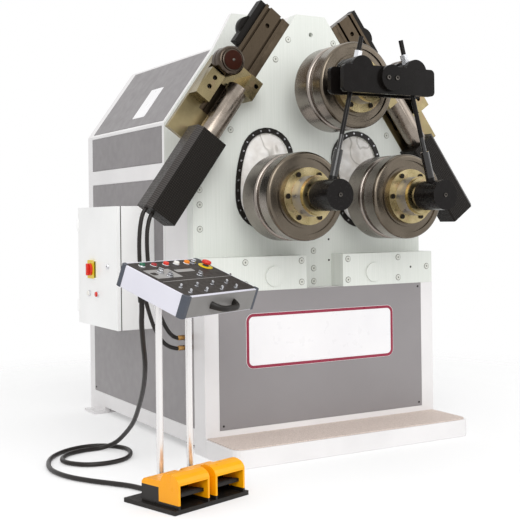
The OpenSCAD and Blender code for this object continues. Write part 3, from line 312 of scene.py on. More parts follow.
# Machined face plate: pale green-white with faint upright tool lines
def faceLook():
    look = Look("faceMachined", 0.4, coat=0.1, coatRough=0.25)
    lines = look.noise(30, 4.0, lookSpec["toolLines"])
    look.tint(lines.spread(0.35, 0.65), *lookSpec["face"])
    look.feed("Roughness", lines.spread(0.3, 0.7, 0.34, 0.5))
    return look.bumped(lines, 0.08, 0.0005)


# Rear housing: frame paint, with the face plate's machined white on its front wall
def shellLook(wallY=-0.309):
    look = Look("shellPaint", 0.42, coat=0.12, coatRough=0.2)
    lines = look.noise(30, 4.0, lookSpec["toolLines"]).spread(0.35, 0.65)
    machined = look.mix(lines, *lookSpec["wall"])
    painted = paintTone(look, lookSpec["frame"])
    look.tint(look.axes()[1].under(wallY), painted, machined)
    return look.bumped(look.noise(420, 2.0), 0.1, 0.0006)


# Anti-slip tread: sandy grey-brown with a fine raised lozenge grit
def treadLook(pitch=360.0):
    look = Look("treadGrit", 0.75)
    x, y, z = look.axes()
    grit = look.noise(260).spread(0.35, 0.65)
    lozenge = ((x + y) * pitch).math("SINE") * ((x - y) * pitch).math("SINE")
    tone = look.mix(grit, "ebdcd3", "c7b8ae")
    look.tint(lozenge.spread(-1, 1, 0.0, 0.45), tone, "b2a59c")
    return look.bumped(lozenge + grit * 0.5, 0.35, 0.0012)


# Woven gaiter cloth, with painted shade in thin fold lines and in soft creases
def clothLook(pitch=4200.0):
    look = Look("gaiterCloth", 0.85, level=0.2)
    x, y, z = look.axes()
    weave = (x * pitch).math("SINE") + (z * pitch).math("SINE")
    # Painted shade in soft creases: the tone goes darker where this noise is high
    crease = look.noise(14, 4.0).spread(0.35, 0.7)
    fold = (look.noise(5, 1.0, (1.4, 1, 0.7)) - 0.5).math("ABSOLUTE").spread(0.0, 0.014, 1.0, 0.0)
    tone = look.mix(crease, "fffdfa", "ebe6df")
    # Painted shade in thin fold lines: they go dark here and also dip the bump
    look.tint(fold * 0.6, tone, "9c958c")
    return look.bumped(weave * 0.3 + look.noise(45, 4.0) * 2.0 - fold * 2.0, 0.4, 0.0014)


def sheetLook():
    look = Look("deskSheet", 0.5, level=0.2)
    mottle = look.noise(50)
    look.tint(mottle, "3b3633", "312c2a")
    look.feed("Roughness", mottle.spread(0.3, 0.7, 0.44, 0.58))
    return look.bumped(look.noise(900, 2.0), 0.1, 0.0003)


faceMachined = faceLook()
shellPaint = shellLook()
treadGrit = treadLook()
gaiterCloth = clothLook()
deskSheet = sheetLook()
print("looks made")


# Faces of a closed skin of rows, each of n points
def tubeFaces(rows, n):
    return [
        (k * n + i, k * n + (i + 1) % n, (k + 1) * n + (i + 1) % n, (k + 1) * n + i)
        for k in range(rows - 1) for i in range(n)
    ]


def aroundCircle(n, start=0.0):
    angles = (start + 2 * math.pi * k / n for k in range(n))
    return [(math.cos(a), math.sin(a)) for a in angles]


# A piece in the making: a mesh with its name, body, slot and looks
class Piece:
    sharpAngle = math.radians(38)

    def __init__(self, name, body, slot, *looks):
        self.name, self.body, self.slot, self.looks = name, body, slot, looks
        self.mesh = bmesh.new()

    def add(self, points, faces, place=None, look=0, smooth=False):
        place = place or Matrix()
        made = [self.mesh.verts.new(place @ Vector(p)) for p in points]
        out = []
        for f in faces:
            face = self.mesh.faces.new([made[k] for k in f])
            face.material_index = look
            face.smooth = smooth
            out.append(face)
        return out

    def bevel(self, edges, width):
        bmesh.ops.bevel(self.mesh, geom=edges, offset=width, segments=2, affect="EDGES", profile=0.5)

    def box(self, low, high, place=None, look=0, bevel=0.001):
        points = [(x, y, z) for x in (low[0], high[0]) for y in (low[1], high[1]) for z in (low[2], high[2])]
        faces = [(0, 1, 3, 2), (4, 6, 7, 5), (0, 4, 5, 1), (2, 3, 7, 6), (0, 2, 6, 4), (1, 5, 7, 3)]
        made = self.add(points, faces, place, look)
        self.bevel(list({e for f in made for e in f.edges}), bevel)

    def lathe(self, profile, place=None, look=0, steps=32):
        circle = aroundCircle(steps)
        points = [(r * c, r * s, h) for r, h in profile for c, s in circle]
        self.add(points, tubeFaces(len(profile), steps), place, look, True)
        verts = list(self.mesh.verts)[-len(points):]
        for ring in (verts[:steps][::-1], verts[-steps:]):
            self.mesh.faces.new(ring).material_index = look

    def prism(self, outline, low, high, place=None, look=0):
        n = len(outline)
        points = [(x, y, z) for z in (low, high) for x, y in outline]
        faces = [tuple(range(n))[::-1], tuple(range(n, 2 * n))]
        self.add(points, faces + tubeFaces(2, n), place, look)

    def nut(self, r, low, high, place, look=0, start=0.0):
        self.prism([(r * c, r * s) for c, s in aroundCircle(6, start)], low, high, place, look)

    def ring(self, outer, inner, low, high, place=None, look=0):
        n = len(outer)
        points = [(x, y, z) for z in (low, high) for path in (outer, inner) for x, y in path]
        faces = []
        for i, j in ((0, 1), (1, 3), (3, 2), (2, 0)):
            faces += [(i * n + k, i * n + (k + 1) % n, j * n + (k + 1) % n, j * n + k) for k in range(n)]
        self.add(points, faces, place, look)

    def sharpEdges(self):
        return [e for e in self.mesh.edges if e.is_manifold and e.calc_face_angle(0) > self.sharpAngle]

    def data(self, soft=False):
        bmesh.ops.recalc_face_normals(self.mesh, faces=self.mesh.faces[:])
        for edge in [] if soft else self.sharpEdges():
            edge.smooth = False
        out = bpy.data.meshes.new(self.name)
        self.mesh.to_mesh(out)
        self.mesh.free()
        for look in self.looks:
            out.materials.append(look)
        return out

    def done(self, bevel=0.0):
        if bevel:
            self.bevel(self.sharpEdges(), bevel)
        return dress(addObject(self.name, self.data()), self.body)


# A piece of turned forms, each with its look, its profile and, where it isn't the usual one, its number of steps
def turnedPiece(name, body, slot, place, *parts):
    piece = Piece(name, body, slot, *(part[0] for part in parts))
    for k, (look, profile, *steps) in enumerate(parts):
        piece.lathe(profile, place, k, *steps)
    return piece.done()


def roundRect(w, h, r, steps=6):
    out = []
    for cx, cy, a0 in ((w - r, h - r, 0), (r - w, h - r, 90), (r - w, r - h, 180), (w - r, r - h, 270)):
        for k in range(steps + 1):
            a = math.radians(a0 + 90 * k / steps)
            out.append((cx + r * math.cos(a), cy + r * math.sin(a)))
    return out


# Local Z turned to the front, and to the left
facing = turnedBy(90, "X")
leftward = turnedBy(-90, "Y")
mirrorX = Matrix.Diagonal((-1, 1, 1, 1))
sides = (("left", -1), ("right", 1))


def frontAt(*spot):
    return moved(*spot) @ facing


def leftAt(*spot):
    return moved(*spot) @ leftward


# Repeats: a template set on points by Geometry Nodes, made real and given its material
def repeatGroup():
    group = bpy.data.node_groups.new("repeatOnPoints", "GeometryNodeTree")
    for name, way, kind in (
        ("Points", "INPUT", "Geometry"), ("Template", "INPUT", "Object"),
        ("Look", "INPUT", "Material"), ("Solid", "OUTPUT", "Geometry"),
    ):
        group.interface.new_socket(name, in_out=way, socket_type="NodeSocket" + kind)
    tree = Tree(group)
    start = tree.node("NodeGroupInput", out="Points")
    shape = tree.node("GeometryNodeObjectInfo", None, {"Object": start.out("Template")}, "Geometry")
    turn = tree.node("GeometryNodeInputNamedAttribute", {"data_type": "FLOAT_VECTOR"}, {"Name": "turn"}, "Attribute")
    spots = {"Points": start, "Instance": shape, "Rotation": turn}
    real = tree.node("GeometryNodeRealizeInstances", None, {
        "Geometry": tree.node("GeometryNodeInstanceOnPoints", None, spots),
    })
    coat = tree.node("GeometryNodeSetMaterial", None, {"Geometry": real, "Material": start.out("Look")})
    tree.node("NodeGroupOutput", None, {"Solid": coat})
    return group


repeatNodes = repeatGroup()


def repeat(name, body, look, spots, shape):
    template = addObject("template", shape)
    data = bpy.data.meshes.new(name + "Points")
    data.from_pydata([m.to_translation() for m in spots], [], [])
    turns = data.attributes.new("turn", "FLOAT_VECTOR", "POINT")
    for k, m in enumerate(spots):
        turns.data[k].vector = m.to_euler()
    carrier = addObject(name + "Carrier", data)
    modifier = carrier.modifiers.new("repeat", "NODES")
    modifier.node_group = repeatNodes
    values = {"Template": template, "Look": look}
    for item in repeatNodes.interface.items_tree:
        if item.name in values:
            modifier[item.identifier] = values[item.name]
    bpy.context.view_layer.update()
    made = bpy.data.meshes.new_from_object(carrier.evaluated_get(bpy.context.evaluated_depsgraph_get()))
    made.name = name
    made.materials.clear()
    made.materials.append(look)
    for face in made.polygons:
        face.material_index = 0
    carrier.modifiers.remove(modifier)
    bpy.data.objects.remove(carrier)
    bpy.data.objects.remove(template)
    return dress(addObject(name, made), body)


# A template mesh of turned forms
def turnedShape(steps, *profiles):
    shape = Piece("shape", None, None)
    for profile in profiles:
        shape.lathe(profile, steps=steps)
    return shape.data()


# Cords: the routes of the source, in millimetres, on one smooth curve each
hoseSpec = {"node": "hydraulic_hoses", "radius": 0.009, "lay": "hanging", "stiffness": "stiff"}
cordSpec = {
    "controlCable": {
        "node": "control_cable", "radius": 0.01, "lay": "loose", "stiffness": "medium",
        "route": [
            (-1088, -1102, 722), (-1088, -1102, 690), (-1081, -1082, 640), (-1060, -1045, 560), (-1030, -990, 470),
            (-990, -880, 370), (-950, -740, 270), (-915, -590, 170), (-900, -450, 90), (-915, -365, 36),
            (-960, -320, 11), (-1040, -325, 11), (-1130, -360, 11), (-1185, -440, 11), (-1180, -520, 11),
            (-1120, -590, 11), (-1030, -605, 11), (-945, -570, 11), (-890, -490, 11), (-872, -400, 11),
            (-900, -325, 11), (-960, -270, 11), (-1040, -262, 11), (-1130, -300, 11), (-1210, -380, 11),
            (-1262, -490, 11), (-1282, -610, 11), (-1262, -730, 11), (-1210, -840, 11), (-1150, -930, 11),
            (-1105, -1000, 11), (-1080, -1065, 11), (-1062, -1120, 11),
        ],
    },
    "upperHose": {
        **hoseSpec,
        "route": [
            (-880, -671, 1087), (-894, -671, 1066), (-904, -670, 1030), (-910, -668, 980), (-910, -662, 910),
            (-902, -652, 830), (-884, -640, 740), (-856, -625, 650), (-816, -606, 560), (-766, -590, 495),
            (-708, -577, 468), (-665, -577, 468),
        ],
    },
    "lowerHose": {
        **hoseSpec,
        "route": [
            (-850, -671, 1066), (-863, -671, 1046), (-872, -670, 1012), (-876, -668, 970), (-873, -662, 900),
            (-862, -652, 820), (-842, -640, 740), (-814, -625, 662), (-778, -606, 590), (-738, -590, 536),
            (-698, -577, 513), (-665, -577, 513),
        ],
    },
}


def metres(point):
    return tuple(c / 1000 for c in point)


def smoothRoute(route, steps=6):
    points = [Vector(metres(p)) for p in route]
    out = []
    for k in range(len(points) - 1):
        a, b = points[max(k - 1, 0)], points[k]
        c, d = points[k + 1], points[min(k + 2, len(points) - 1)]
        for j in range(steps):
            t = j / steps
            bend = (2 * a - 5 * b + 4 * c - d) * t ** 2 + (3 * b - a - 3 * c + d) * t ** 3
            out.append(0.5 * (2 * b + (c - a) * t + bend))
    return out + [points[-1]]


for name, spec in cordSpec.items():
    line = smoothRoute(spec["route"])
    length = sum((b - a).length for a, b in zip(line, line[1:]))
    data = bpy.data.curves.new(name, "CURVE")
    assign(data, dimensions="3D", bevel_depth=spec["radius"], bevel_resolution=4, use_fill_caps=True)
    spline = data.splines.new("POLY")
    spline.points.add(len(line) - 1)
    for point, place in zip(spline.points, line):
        point.co = (*place, 1)
    spline.use_smooth = True
    data.materials.append(plastic.rubber)
    cord = dress(addObject(name, data), "machine")
    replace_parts(cord, spec["node"])
    metres(spec["route"][0])
    2 * spec["radius"]
    print("cord", name, round(length, 3))

# Finishes of the solids that stay as they are
rollCentres = {"top": (0.0, 1.62), "left": (-0.274, 1.129), "right": (0.274, 1.129)}
rollSpec = {
    "frontY": -0.974, "side": ("938b84", "867e77"), "front": ("6f665b", "625a4f"), "ringPitch": 5200.0,
}


# Turned steel: fine rings round an axis along Y, with a darker wash in patches
def rollLook(name, centre):
    look = Look(name, 0.24, metal=1.0)
    x, y, z = look.axes()
    wash = look.noise(9, 4.0).spread(0.35, 0.7)
    rim, front = (look.mix(wash, *rollSpec[part]) for part in ("side", "front"))
    look.tint(y.under(rollSpec["frontY"]), rim, front)
    look.roughen(30, 0.22, 0.28)
    return look.bumped(((look.round(centre) + y * 0.8) * rollSpec["ringPitch"]).math("SINE"), 0.05, 0.0003)


# Clamp set: gold zinc flange and washer, and between them a grey nut with a dark edge
clampSpec = {"nut": (-1.0745, -1.0085), "edge": 0.092}


def clampLook(name, centre):
    look = Look(name, 0.3, metal=1.0)
    x, y, z = look.axes()
    reach = look.round(centre)
    nut = y.within(*clampSpec["nut"])
    gold = zincTone(look, (16, 23), "b9aa83", "988a63", "a3886c")
    bare = look.mix(look.noise(20), "c6c2be", "a5a09b")
    look.tint(nut, gold, look.mix(reach.over(clampSpec["edge"]), bare, "2c2824"))
    look.feed("Roughness", look.noise(40).spread(0.3, 0.7, 0.22, 0.34) + nut * 0.2)
    return look.bumped((reach * rollSpec["ringPitch"]).math("SINE"), 0.05, 0.0003)


# Tie rods: black, with bright zinc nuts above the lug and a polished flank on the sleeve
tieSpec = {"head": (0.14, 1.652), "nut": (0.0435, 0.086), "sleeve": (0.08, 0.26), "thread": -0.1, "pitch": 2400.0}


def tieLook(name, side, sign):
    look = Look(name, 0.26, level=0.16)
    x, y, z = look.axes()
    foot = Vector(rollCentres[side])
    rod = Vector((sign * tieSpec["head"][0], tieSpec["head"][1])) - foot
    along = rod.normalized()
    rise = (x - foot.x) * along.x + (z - foot.y) * along.y
    nut = rise.within(*(rod.length + end for end in tieSpec["nut"]))
    look.tint(nut, "13100f", "d8d9dc")
    look.feed("Metallic", nut)
    look.feed("Coat Weight", rise.within(*tieSpec["sleeve"]))
    look.roughen(60, 0.18, 0.32)
    thread = (rise * tieSpec["pitch"]).math("SINE") * rise.over(rod.length + tieSpec["thread"])
    return look.bumped(thread, 0.25, 0.0008)


# Side guides stand on a slant: place across its width, in depth, and up it
slantSpec = {
    "foot": (0.63, 1.227), "run": (0.551, 0.766), "rail": 0.53,
    "tube": (-0.064, -0.669), "tubeR": 0.0506, "tubeTop": 0.4365,
    "sleeve": 0.4, "bevel": -0.1185, "pitch": 330.0,
}
slant = math.atan2(*slantSpec["run"])


def slantAxes(look):
    x, y, z = look.axes()
    outward = slantSpec["foot"][0] - x.math("ABSOLUTE")
    rise = z - slantSpec["foot"][1]
    c, s = math.cos(slant), math.sin(slant)
    return outward * c - rise * s, y, outward * s + rise * c


# Guard: black, pressed chequer on the sleeve with a worn grey bevel; the rail's cover stays smooth
def guardLook():
    look = Look("guardChequer", 0.42, level=0.15)
    across, y, up = slantAxes(look)
    sleeve = up.under(slantSpec["sleeve"])
    bevel = across.under(slantSpec["bevel"]) * sleeve
    pitch = slantSpec["pitch"]
    chequer = ((up + across + y) * pitch).math("SINE") * ((up - across - y) * pitch).math("SINE")
    plain = look.mix(chequer.spread(0.2, 0.9) * sleeve, "14110e", "2f2a26")
    look.tint(bevel * chequer.spread(-0.6, 0.8, 0.35, 1.0), plain, "55514f")
    look.roughen(80, 0.34, 0.56)
    return look.bumped(chequer * sleeve, 0.6, 0.002)


# Zinc plate of the guides, turning to brown steel where the given mask is set
def guideLook(name, mask, tones, rough):
    look = Look(name, rough, metal=1.0)
    plate = zincTone(look, (7, 11), "978a68", "776c50", "937d64")
    brown = look.mix(look.noise(24, 4.0).spread(0.3, 0.7), *tones)
    look.tint(mask(look), plate, brown)
    look.roughen(35, rough - 0.03, rough + 0.05)
    return look.bumped(look.noise(240), 0.02, 0.0003)


def railPart(look):
    return slantAxes(look)[2].over(slantSpec["rail"])


def tubePart(look):
    across, y, up = slantAxes(look)
    dx, dy = across - slantSpec["tube"][0], y - slantSpec["tube"][1]
    return (dx * dx + dy * dy).under(slantSpec["tubeR"] ** 2) * up.under(slantSpec["tubeTop"])


solidLooks = [
    (paint.frame, "base_frame front_step head_housing bearing_plate"),
    (paint.panel, "base_panels"),
    (treadGrit, "step_tread"),
    (faceMachined, "face_plate apron_plates trunnion_covers"),
    (shellPaint, "rear_housing"),
    (paint.housing, "housing_panels"),
    (plastic.black, "slot_rings foot_plate left_pedal right_pedal"),
    (paint.iron, "left_arm right_arm"),
    (paint.motor, "left_motor right_motor top_motor left_cylinder right_cylinder"),
    (steel.shaft, "top_shaft left_shaft right_shaft"),
    (steel.chrome, "left_piston right_piston"),
    (paint.black, "yoke left_lug right_lug"),
    (guideLook("bracketZinc", railPart, lookSpec["brown"], 0.32), "guide_brackets"),
    (guideLook("carriageZinc", tubePart, ("9b9187", "8a8076"), 0.26), "left_carriage right_carriage"),
    (steel.rail, "guide_rails"),
    (guardLook(), "guide_guards"),
    (paint.cabinet, "switch_cabinet cabinet_door"),
    (paint.desk, "control_desk"),
    (poleSteel, "stand_poles"),
]
for side, centre in rollCentres.items():
    solidLooks.append((rollLook(side + "RollSteel", centre), side + "_roll"))
    solidLooks.append((clampLook(side + "Clamp", centre), side + "_clamp"))
for side, sign in sides:
    solidLooks.append((tieLook(side + "TieRod", side, sign), side + "_tie_rod"))
edgeWidths = {
    0.001: "base_panels housing_panels",
    0.0015: "trunnion_covers step_tread",
    0.002: "face_plate apron_plates guide_brackets guide_rails left_carriage right_carriage",
    0.003: "head_housing left_lug right_lug guide_guards switch_cabinet cabinet_door control_desk"
           " left_pedal right_pedal",
    0.004: "base_frame front_step rear_housing foot_plate",
    0.006: "yoke",
}
weldSpec = {"merge_threshold": 0.00002}
bevelSpec = {"segments": 2, "limit_method": "ANGLE", "angle_limit": math.radians(40), "harden_normals": True}
for look, names in solidLooks:
    for node in names.split():
        nodes[node].data.materials.clear()
        nodes[node].data.materials.append(look)
for width, names in edgeWidths.items():
    for node in names.split():
        modifiers = nodes[node].modifiers
        assign(modifiers.new("weld", "WELD"), **weldSpec)
        assign(modifiers.new("edge", "BEVEL"), width=width, **bevelSpec)
print("solids finished")

# Curved slots of the face plate: the path of a lower roll about its arm's pivot
slotSpec = {"pivot": (-0.165, 1.16), "roll": rollCentres["right"], "swing": 24.5}
(pivotX, pivotZ), (rollX, rollZ) = slotSpec["pivot"], slotSpec["roll"]
slotReach = math.hypot(rollX - pivotX, rollZ - pivotZ)
slotRest = math.atan2(rollZ - pivotZ, rollX - pivotX)
slotSwing = math.radians(slotSpec["swing"])


# A point on the slot's edge, r off its middle line: outer arc, upper end, inner arc, lower end
def slotPoint(quarter, f, r):
    top = slotRest + slotSwing
    if quarter in (0, 2):
        a = slotRest + f * slotSwing if quarter == 0 else top - f * slotSwing
        d = slotReach + (r if quarter == 0 else -r)
        return pivotX + d * math.cos(a), pivotZ + d * math.sin(a)
    base = top if quarter == 1 else slotRest
    a = base + math.pi * f + (0 if quarter == 1 else math.pi)
    x, z = pivotX + slotReach * math.cos(base), pivotZ + slotReach * math.sin(base)
    return x + r * math.cos(a), z + r * math.sin(a)


# Cloth gaiters: a gathered skin from the slot's edge to the quill's collar
gaiterSpec = {
    "slotR": 0.1162, "collarR": 0.0628, "y": -0.606, "reach": 0.04, "around": 168, "rings": 26,
    "fold": 0.002, "folds": 14, "crease": 0.026, "fine": 0.006, "cut": (0.25, 0.45), "hems": (0.004, 0.003),
    "twist": 2.2, "creaseScale": 16, "fineScale": 55,
}


def gaiter(side, sign):
    spec, name = gaiterSpec, side + "Cloth"
    n, rings = spec["around"], spec["rings"]
    points = []
    for k in range(rings):
        f = k / (rings - 1)
        for i in range(n):
            u = 4 * i / n
            x, z = slotPoint(int(u), u - int(u), spec["slotR"])
            a = math.atan2(z - rollZ, x - rollX)
            cx, cz = rollX + spec["collarR"] * math.cos(a), rollZ + spec["collarR"] * math.sin(a)
            x, z = x + f * (cx - x), z + f * (cz - z)
            ripple = (1 + math.cos(2 * math.pi * spec["folds"] * i / n + spec["twist"] * f)) * spec["fold"]
            flat = Vector((x, z, 0))
            crease = abs(noise.noise(flat * spec["creaseScale"] + Vector((sign * 3, 0, 0)))) * spec["crease"]
            fine = abs(noise.noise(flat * spec["fineScale"] + Vector((0, 0, sign * 7)))) * spec["fine"]
            y = spec["y"] - spec["reach"] * f - math.sin(math.pi * f) * (ripple + crease + fine)
            points.append((sign * x, y, z))
    piece = Piece(name, "machine", "cloth", gaiterCloth)
    piece.add(points, tubeFaces(rings, n), smooth=True)
    area = sum(f.calc_area() for f in piece.mesh.faces)
    made = addObject(name, piece.data(soft=True))
    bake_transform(made)
    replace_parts(made, side + "_gaiter")
    print("gaiter", name, "cloth area", round(area, 4))


for side, sign in sides:
    gaiter(side, sign)


# Screws: countersunk heads on the face plate, pan heads on the rings and panels; painted shade in counterbores and
# tapped holes
def screwCentres(node, apart=0.036):
    groups = []
    for v in nodes[node].data.vertices:
        for group in groups:
            if (group[0] - v.co).length < apart:
                group.append(v.co)
                break
        else:
            groups.append([v.co])
    middles = ([(min(side) + max(side)) / 2 for side in zip(*group)] for group in groups)
    return [(x, max(p.y for p in group), z) for group, (x, y, z) in zip(groups, middles)]


def slotPath(r, count):
    runs = [(slotReach + r) * slotSwing, math.pi * r, (slotReach - r) * slotSwing, math.pi * r]
    out = []
    for k in range(count):
        d, quarter = sum(runs) * k / count, 0
        while d > runs[quarter]:
            d -= runs[quarter]
            quarter += 1
        out.append(slotPoint(quarter, d / runs[quarter], r))
    return out


bodySpec = {"half": 0.63, "panelY": -0.71, "ringY": -0.617}
screwSpec = {
    "head": [(0.0042, -0.002), (0.0042, 0.0022), (0.01, 0.0036), (0.0122, 0.0024), (0.0125, -0.0024)],
    "pan": [(0.0048, 0.0), (0.0048, 0.0012), (0.0036, 0.0026), (0.0012, 0.0031), (0.0004, 0.0029)],
    # Ring of painted shade round each face screw head
    "boreShade": [(0.0126, 0.0003), (0.0126, 0.0006), (0.0146, 0.0006), (0.0148, 0.0001)],
    # Black disc of painted shade where a tapped hole is
    "holeShade": [(0.0004, 0.0001), (0.0052, 0.0001), (0.0046, 0.0006), (0.0004, 0.0004)],
    "holes": [(0.087, -0.611, 0.934), (0.087, -0.611, 0.835), (-0.499, -0.71, 0.792), (0.499, -0.71, 0.792)],
    "ringR": 0.129, "ringCount": 26,
    "panelX": (-0.541, 0.541), "panelY": (-0.583, 0.622), "panelZ": (0.127, 0.695),
}


def screws(name, look, spots, kind, steps):
    return repeat(name, "machine", look, spots, turnedShape(steps, screwSpec[kind]))


headSpots = [frontAt(*c) for c in screwCentres("face_screws")]
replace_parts(screws("faceScrews", paint.screwPale, headSpots, "head", 24), "face_screws")
# Painted shade: a grey ring in each counterbore's gap round its head
screws("boreLines", paint.boreGrey, headSpots, "boreShade", 24)
# Painted shade: a black disc on each tapped hole in place of its depth
screws("tappedHoles", plastic.black, [frontAt(*spot) for spot in screwSpec["holes"]], "holeShade", 20)
ringPath = slotPath(screwSpec["ringR"], screwSpec["ringCount"])
ringSpots = [frontAt(sign * x, bodySpec["ringY"], z) for side, sign in sides for x, z in ringPath]
screws("ringScrews", steel.zinc, ringSpots, "pan", 14)
panelSpots = [frontAt(x, bodySpec["panelY"], z) for x in screwSpec["panelX"] for z in screwSpec["panelZ"]]
for side, sign in sides:
    panelSpots += [
        moved(sign * bodySpec["half"], y, z) @ turnedBy(90 * sign, "Y")
        for y in screwSpec["panelY"] for z in screwSpec["panelZ"]
    ]
screws("panelScrews", plastic.black, panelSpots, "pan", 14)
print("screws set")

# Sign on the front panel: a plain white plate with round corners and a crimson stripe
signSpec = {
    "at": (-0.0195, 0.49), "half": (0.405, 0.1235), "corner": 0.036, "steps": 10, "t": 0.0025,
    "rim": 0.0015, "stripe": 0.013, "relief": (-0.0005, 0.0006),
}


def signOutline(inset):
    w, h = signSpec["half"]
    return roundRect(w - inset, h - inset, signSpec["corner"] - inset, signSpec["steps"])


signPlate = Piece("frontSign", "machine", "panel_grey", paint.signWhite, paint.signCrimson)
place = frontAt(signSpec["at"][0], bodySpec["panelY"], signSpec["at"][1])
signPlate.prism(signOutline(0), 0, signSpec["t"], place)
stripe = signOutline(signSpec["rim"]), signOutline(signSpec["rim"] + signSpec["stripe"])
signPlate.ring(*stripe, *(signSpec["t"] + h for h in signSpec["relief"]), place, 1)
signPlate.done()

# Blank plate on the sloped panel of the rear housing
plateSpec = {
    "eave": (-0.63, 0.095, 1.493), "rise": (0.268, 0.372), "up": 0.167, "half": (0.095, 0.075), "corner": 0.006,
    "t": 0.0015,
}
slope = math.degrees(math.atan2(plateSpec["rise"][1], plateSpec["rise"][0]))
seat = moved(*plateSpec["eave"]) @ turnedBy(-slope, "Y") @ moved(plateSpec["up"], 0, 0)
blank = Piece("blankPlate", "machine", "panel_grey", paint.signWhite)
blank.prism(roundRect(*plateSpec["half"], plateSpec["corner"]), 0, plateSpec["t"], seat)
blank.done()

# Front wall of the rear housing, standing above its roof
wallSpec = {"foot": (0.362, 1.863), "top": (0.264, 2.036), "y": (-0.3115, -0.282), "edge": 0.004}
(footX, footZ), (topX, topZ) = wallSpec["foot"], wallSpec["top"]
wall = Piece("upperWall", "machine", "frame_white", shellPaint)
outline = [(-footX, footZ), (footX, footZ), (topX, topZ), (-topX, topZ)]
wall.prism(outline, 0, wallSpec["y"][1] - wallSpec["y"][0], frontAt(0, wallSpec["y"][1], 0))
wall.done(bevel=wallSpec["edge"])
print("sign, plate and wall made")

# Control desk: dark top sheet in a pale rim, grey front, lamps, selectors and levers
deskSpec = {
    "place": (-0.9, -1.156, 0.818), "turn": 27, "tilt": 21, "w": 0.468, "l": 0.328, "t": 0.086,
    "trim": 0.026, "proud": 0.0012, "sheetIn": 0.01, "sheetCorner": 0.02, "lift": 0.0012,
    "sink": -0.0005, "zoneCorner": 0.006, "frontIn": (0.001, 0.003), "frontCorner": 0.002,
    "zones": {
        "levels": (-0.28, 0.125, 0.16, 0.12, 0.0006, 1), "strip": (0.037, 0.17, 0.12, 0.037, 0.0006, 1),
        "line": (0.0, -0.085, 0.455, 0.004, 0.0006, 1), "display": (-0.385, 0.132, 0.034, 0.034, 0.0012, 0),
    },
}
deskFrame = moved(*deskSpec["place"]) @ turnedBy(deskSpec["turn"], "Z") @ turnedBy(deskSpec["tilt"], "X")
deskFrontY = -deskSpec["l"] / 2


def deskAt(u, v, h=0.0):
    return deskFrame @ moved(u * deskSpec["w"], v * deskSpec["l"], h)


top = Piece("deskTop", "machine", "dark_trim", deskSheet, paint.deskGrey)
w, l = (deskSpec[k] / 2 - deskSpec["sheetIn"] for k in "wl")
top.prism(roundRect(w, l, deskSpec["sheetCorner"]), deskSpec["sink"], deskSpec["lift"], deskFrame)
for u, v, halfU, halfV, h, look in deskSpec["zones"].values():
    half = (halfU * deskSpec["w"], halfV * deskSpec["l"])
    corner = min(deskSpec["zoneCorner"], half[1] * 0.6)
    top.prism(roundRect(*half, corner), 0, h, deskAt(u, v, deskSpec["lift"]), look)
top.done()
front = Piece("deskFront", "machine", "desk_paint", paint.frontGrey)
w = deskSpec["w"] / 2 + deskSpec["proud"] - deskSpec["trim"] - deskSpec["frontIn"][0]
h = deskSpec["t"] / 2 - deskSpec["frontIn"][1]
place = deskFrame @ frontAt(0, deskFrontY, -deskSpec["t"] / 2)
front.prism(roundRect(w, h, deskSpec["frontCorner"], 3), 0, deskSpec["proud"], place)
front.done()

# Corner posts, cable gland and the bow handle
trimSpec = {
    "steps": 8, "soft": 0.014, "top": 0.0006,
    "nut": (0.016, 0.02, 0.045), "sleeve": [(0.0108, 0.0005), (0.0135, 0.004), (0.0148, 0.02), (0.0148, 0.066)],
    "handleHalf": 0.072, "handleOut": 0.044, "handleR": 0.0095, "rows": 33, "around": 16,
}
trim = Piece("deskTrim", "machine", "dark_trim", plastic.trim, plastic.black)
r, soft = deskSpec["trim"], trimSpec["soft"]
arc = [math.radians(90 * k / trimSpec["steps"]) for k in range(trimSpec["steps"] + 1)]
quarter = [(r - soft + soft * math.cos(a), r - soft + soft * math.sin(a)) for a in arc]
quarter = [(0.0, 0.0), (r, 0.0)] + quarter + [(0.0, r)]
cornerX, cornerY = (deskSpec[k] / 2 + deskSpec["proud"] - r for k in "wl")
for sx in (-1, 1):
    for sy in (-1, 1):
        outline = [(sx * (cornerX + x), sy * (cornerY + y)) for x, y in quarter]
        trim.prism(outline, -deskSpec["t"], trimSpec["top"], deskFrame)
gland = moved(*metres(cordSpec["controlCable"]["route"][0]))
trim.nut(*trimSpec["nut"], gland, 1)
trim.lathe(trimSpec["sleeve"], gland, 1, 24)
rows, n, thick = trimSpec["rows"], trimSpec["around"], trimSpec["handleR"]
shares = [2 * k / (rows - 1) - 1 for k in range(rows)]
path = [Vector((trimSpec["handleHalf"] * f, deskFrontY - trimSpec["handleOut"] * (1 - abs(f) ** 5), 0)) for f in shares]
points = []
for k, spot in enumerate(path):
    ahead = (path[min(k + 1, rows - 1)] - path[max(k - 1, 0)]).normalized()
    across = Vector((-ahead.y, ahead.x, 0)) * thick
    wide = thick * (1.25 + 0.35 * abs(shares[k]) ** 8)
    for c, s in aroundCircle(n):
        points.append(spot + across * c + Vector((0, 0, wide * s - deskSpec["t"] / 2)))
ends = [tuple(range(n))[::-1], tuple(range((rows - 1) * n, rows * n))]
trim.add(points, tubeFaces(rows, n) + ends, deskFrame, 1, True)
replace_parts(trim.done(), "desk_trim")


def lamp(name, u, look, h=0.013, slot="chrome", r=0.0115, v=0.35):
    rim = [(r * 1.28, 0.001), (r * 1.28, 0.004), (r * 1.1, 0.0058), (r * 1.02, 0.0058)]
    dome = [(r, 0.004), (r, h - 0.003), (r * 0.86, h - 0.0008), (r * 0.5, h + 0.0004), (0.0004, h + 0.0006)]
    turnedPiece(name, "machine", slot, deskAt(u, v), (steel.chrome, rim), (look, dome))


selectorSpec = {
    "ring": [(0.0145, 0.001), (0.0145, 0.004), (0.0125, 0.0055), (0.011, 0.0055)],
    "knob": [(0.0108, 0.004), (0.0108, 0.012), (0.009, 0.014), (0.0005, 0.0145)],
    "grip": ((-0.0028, -0.0105, 0.0135), (0.0028, 0.0105, 0.02)), "edge": 0.0012,
}


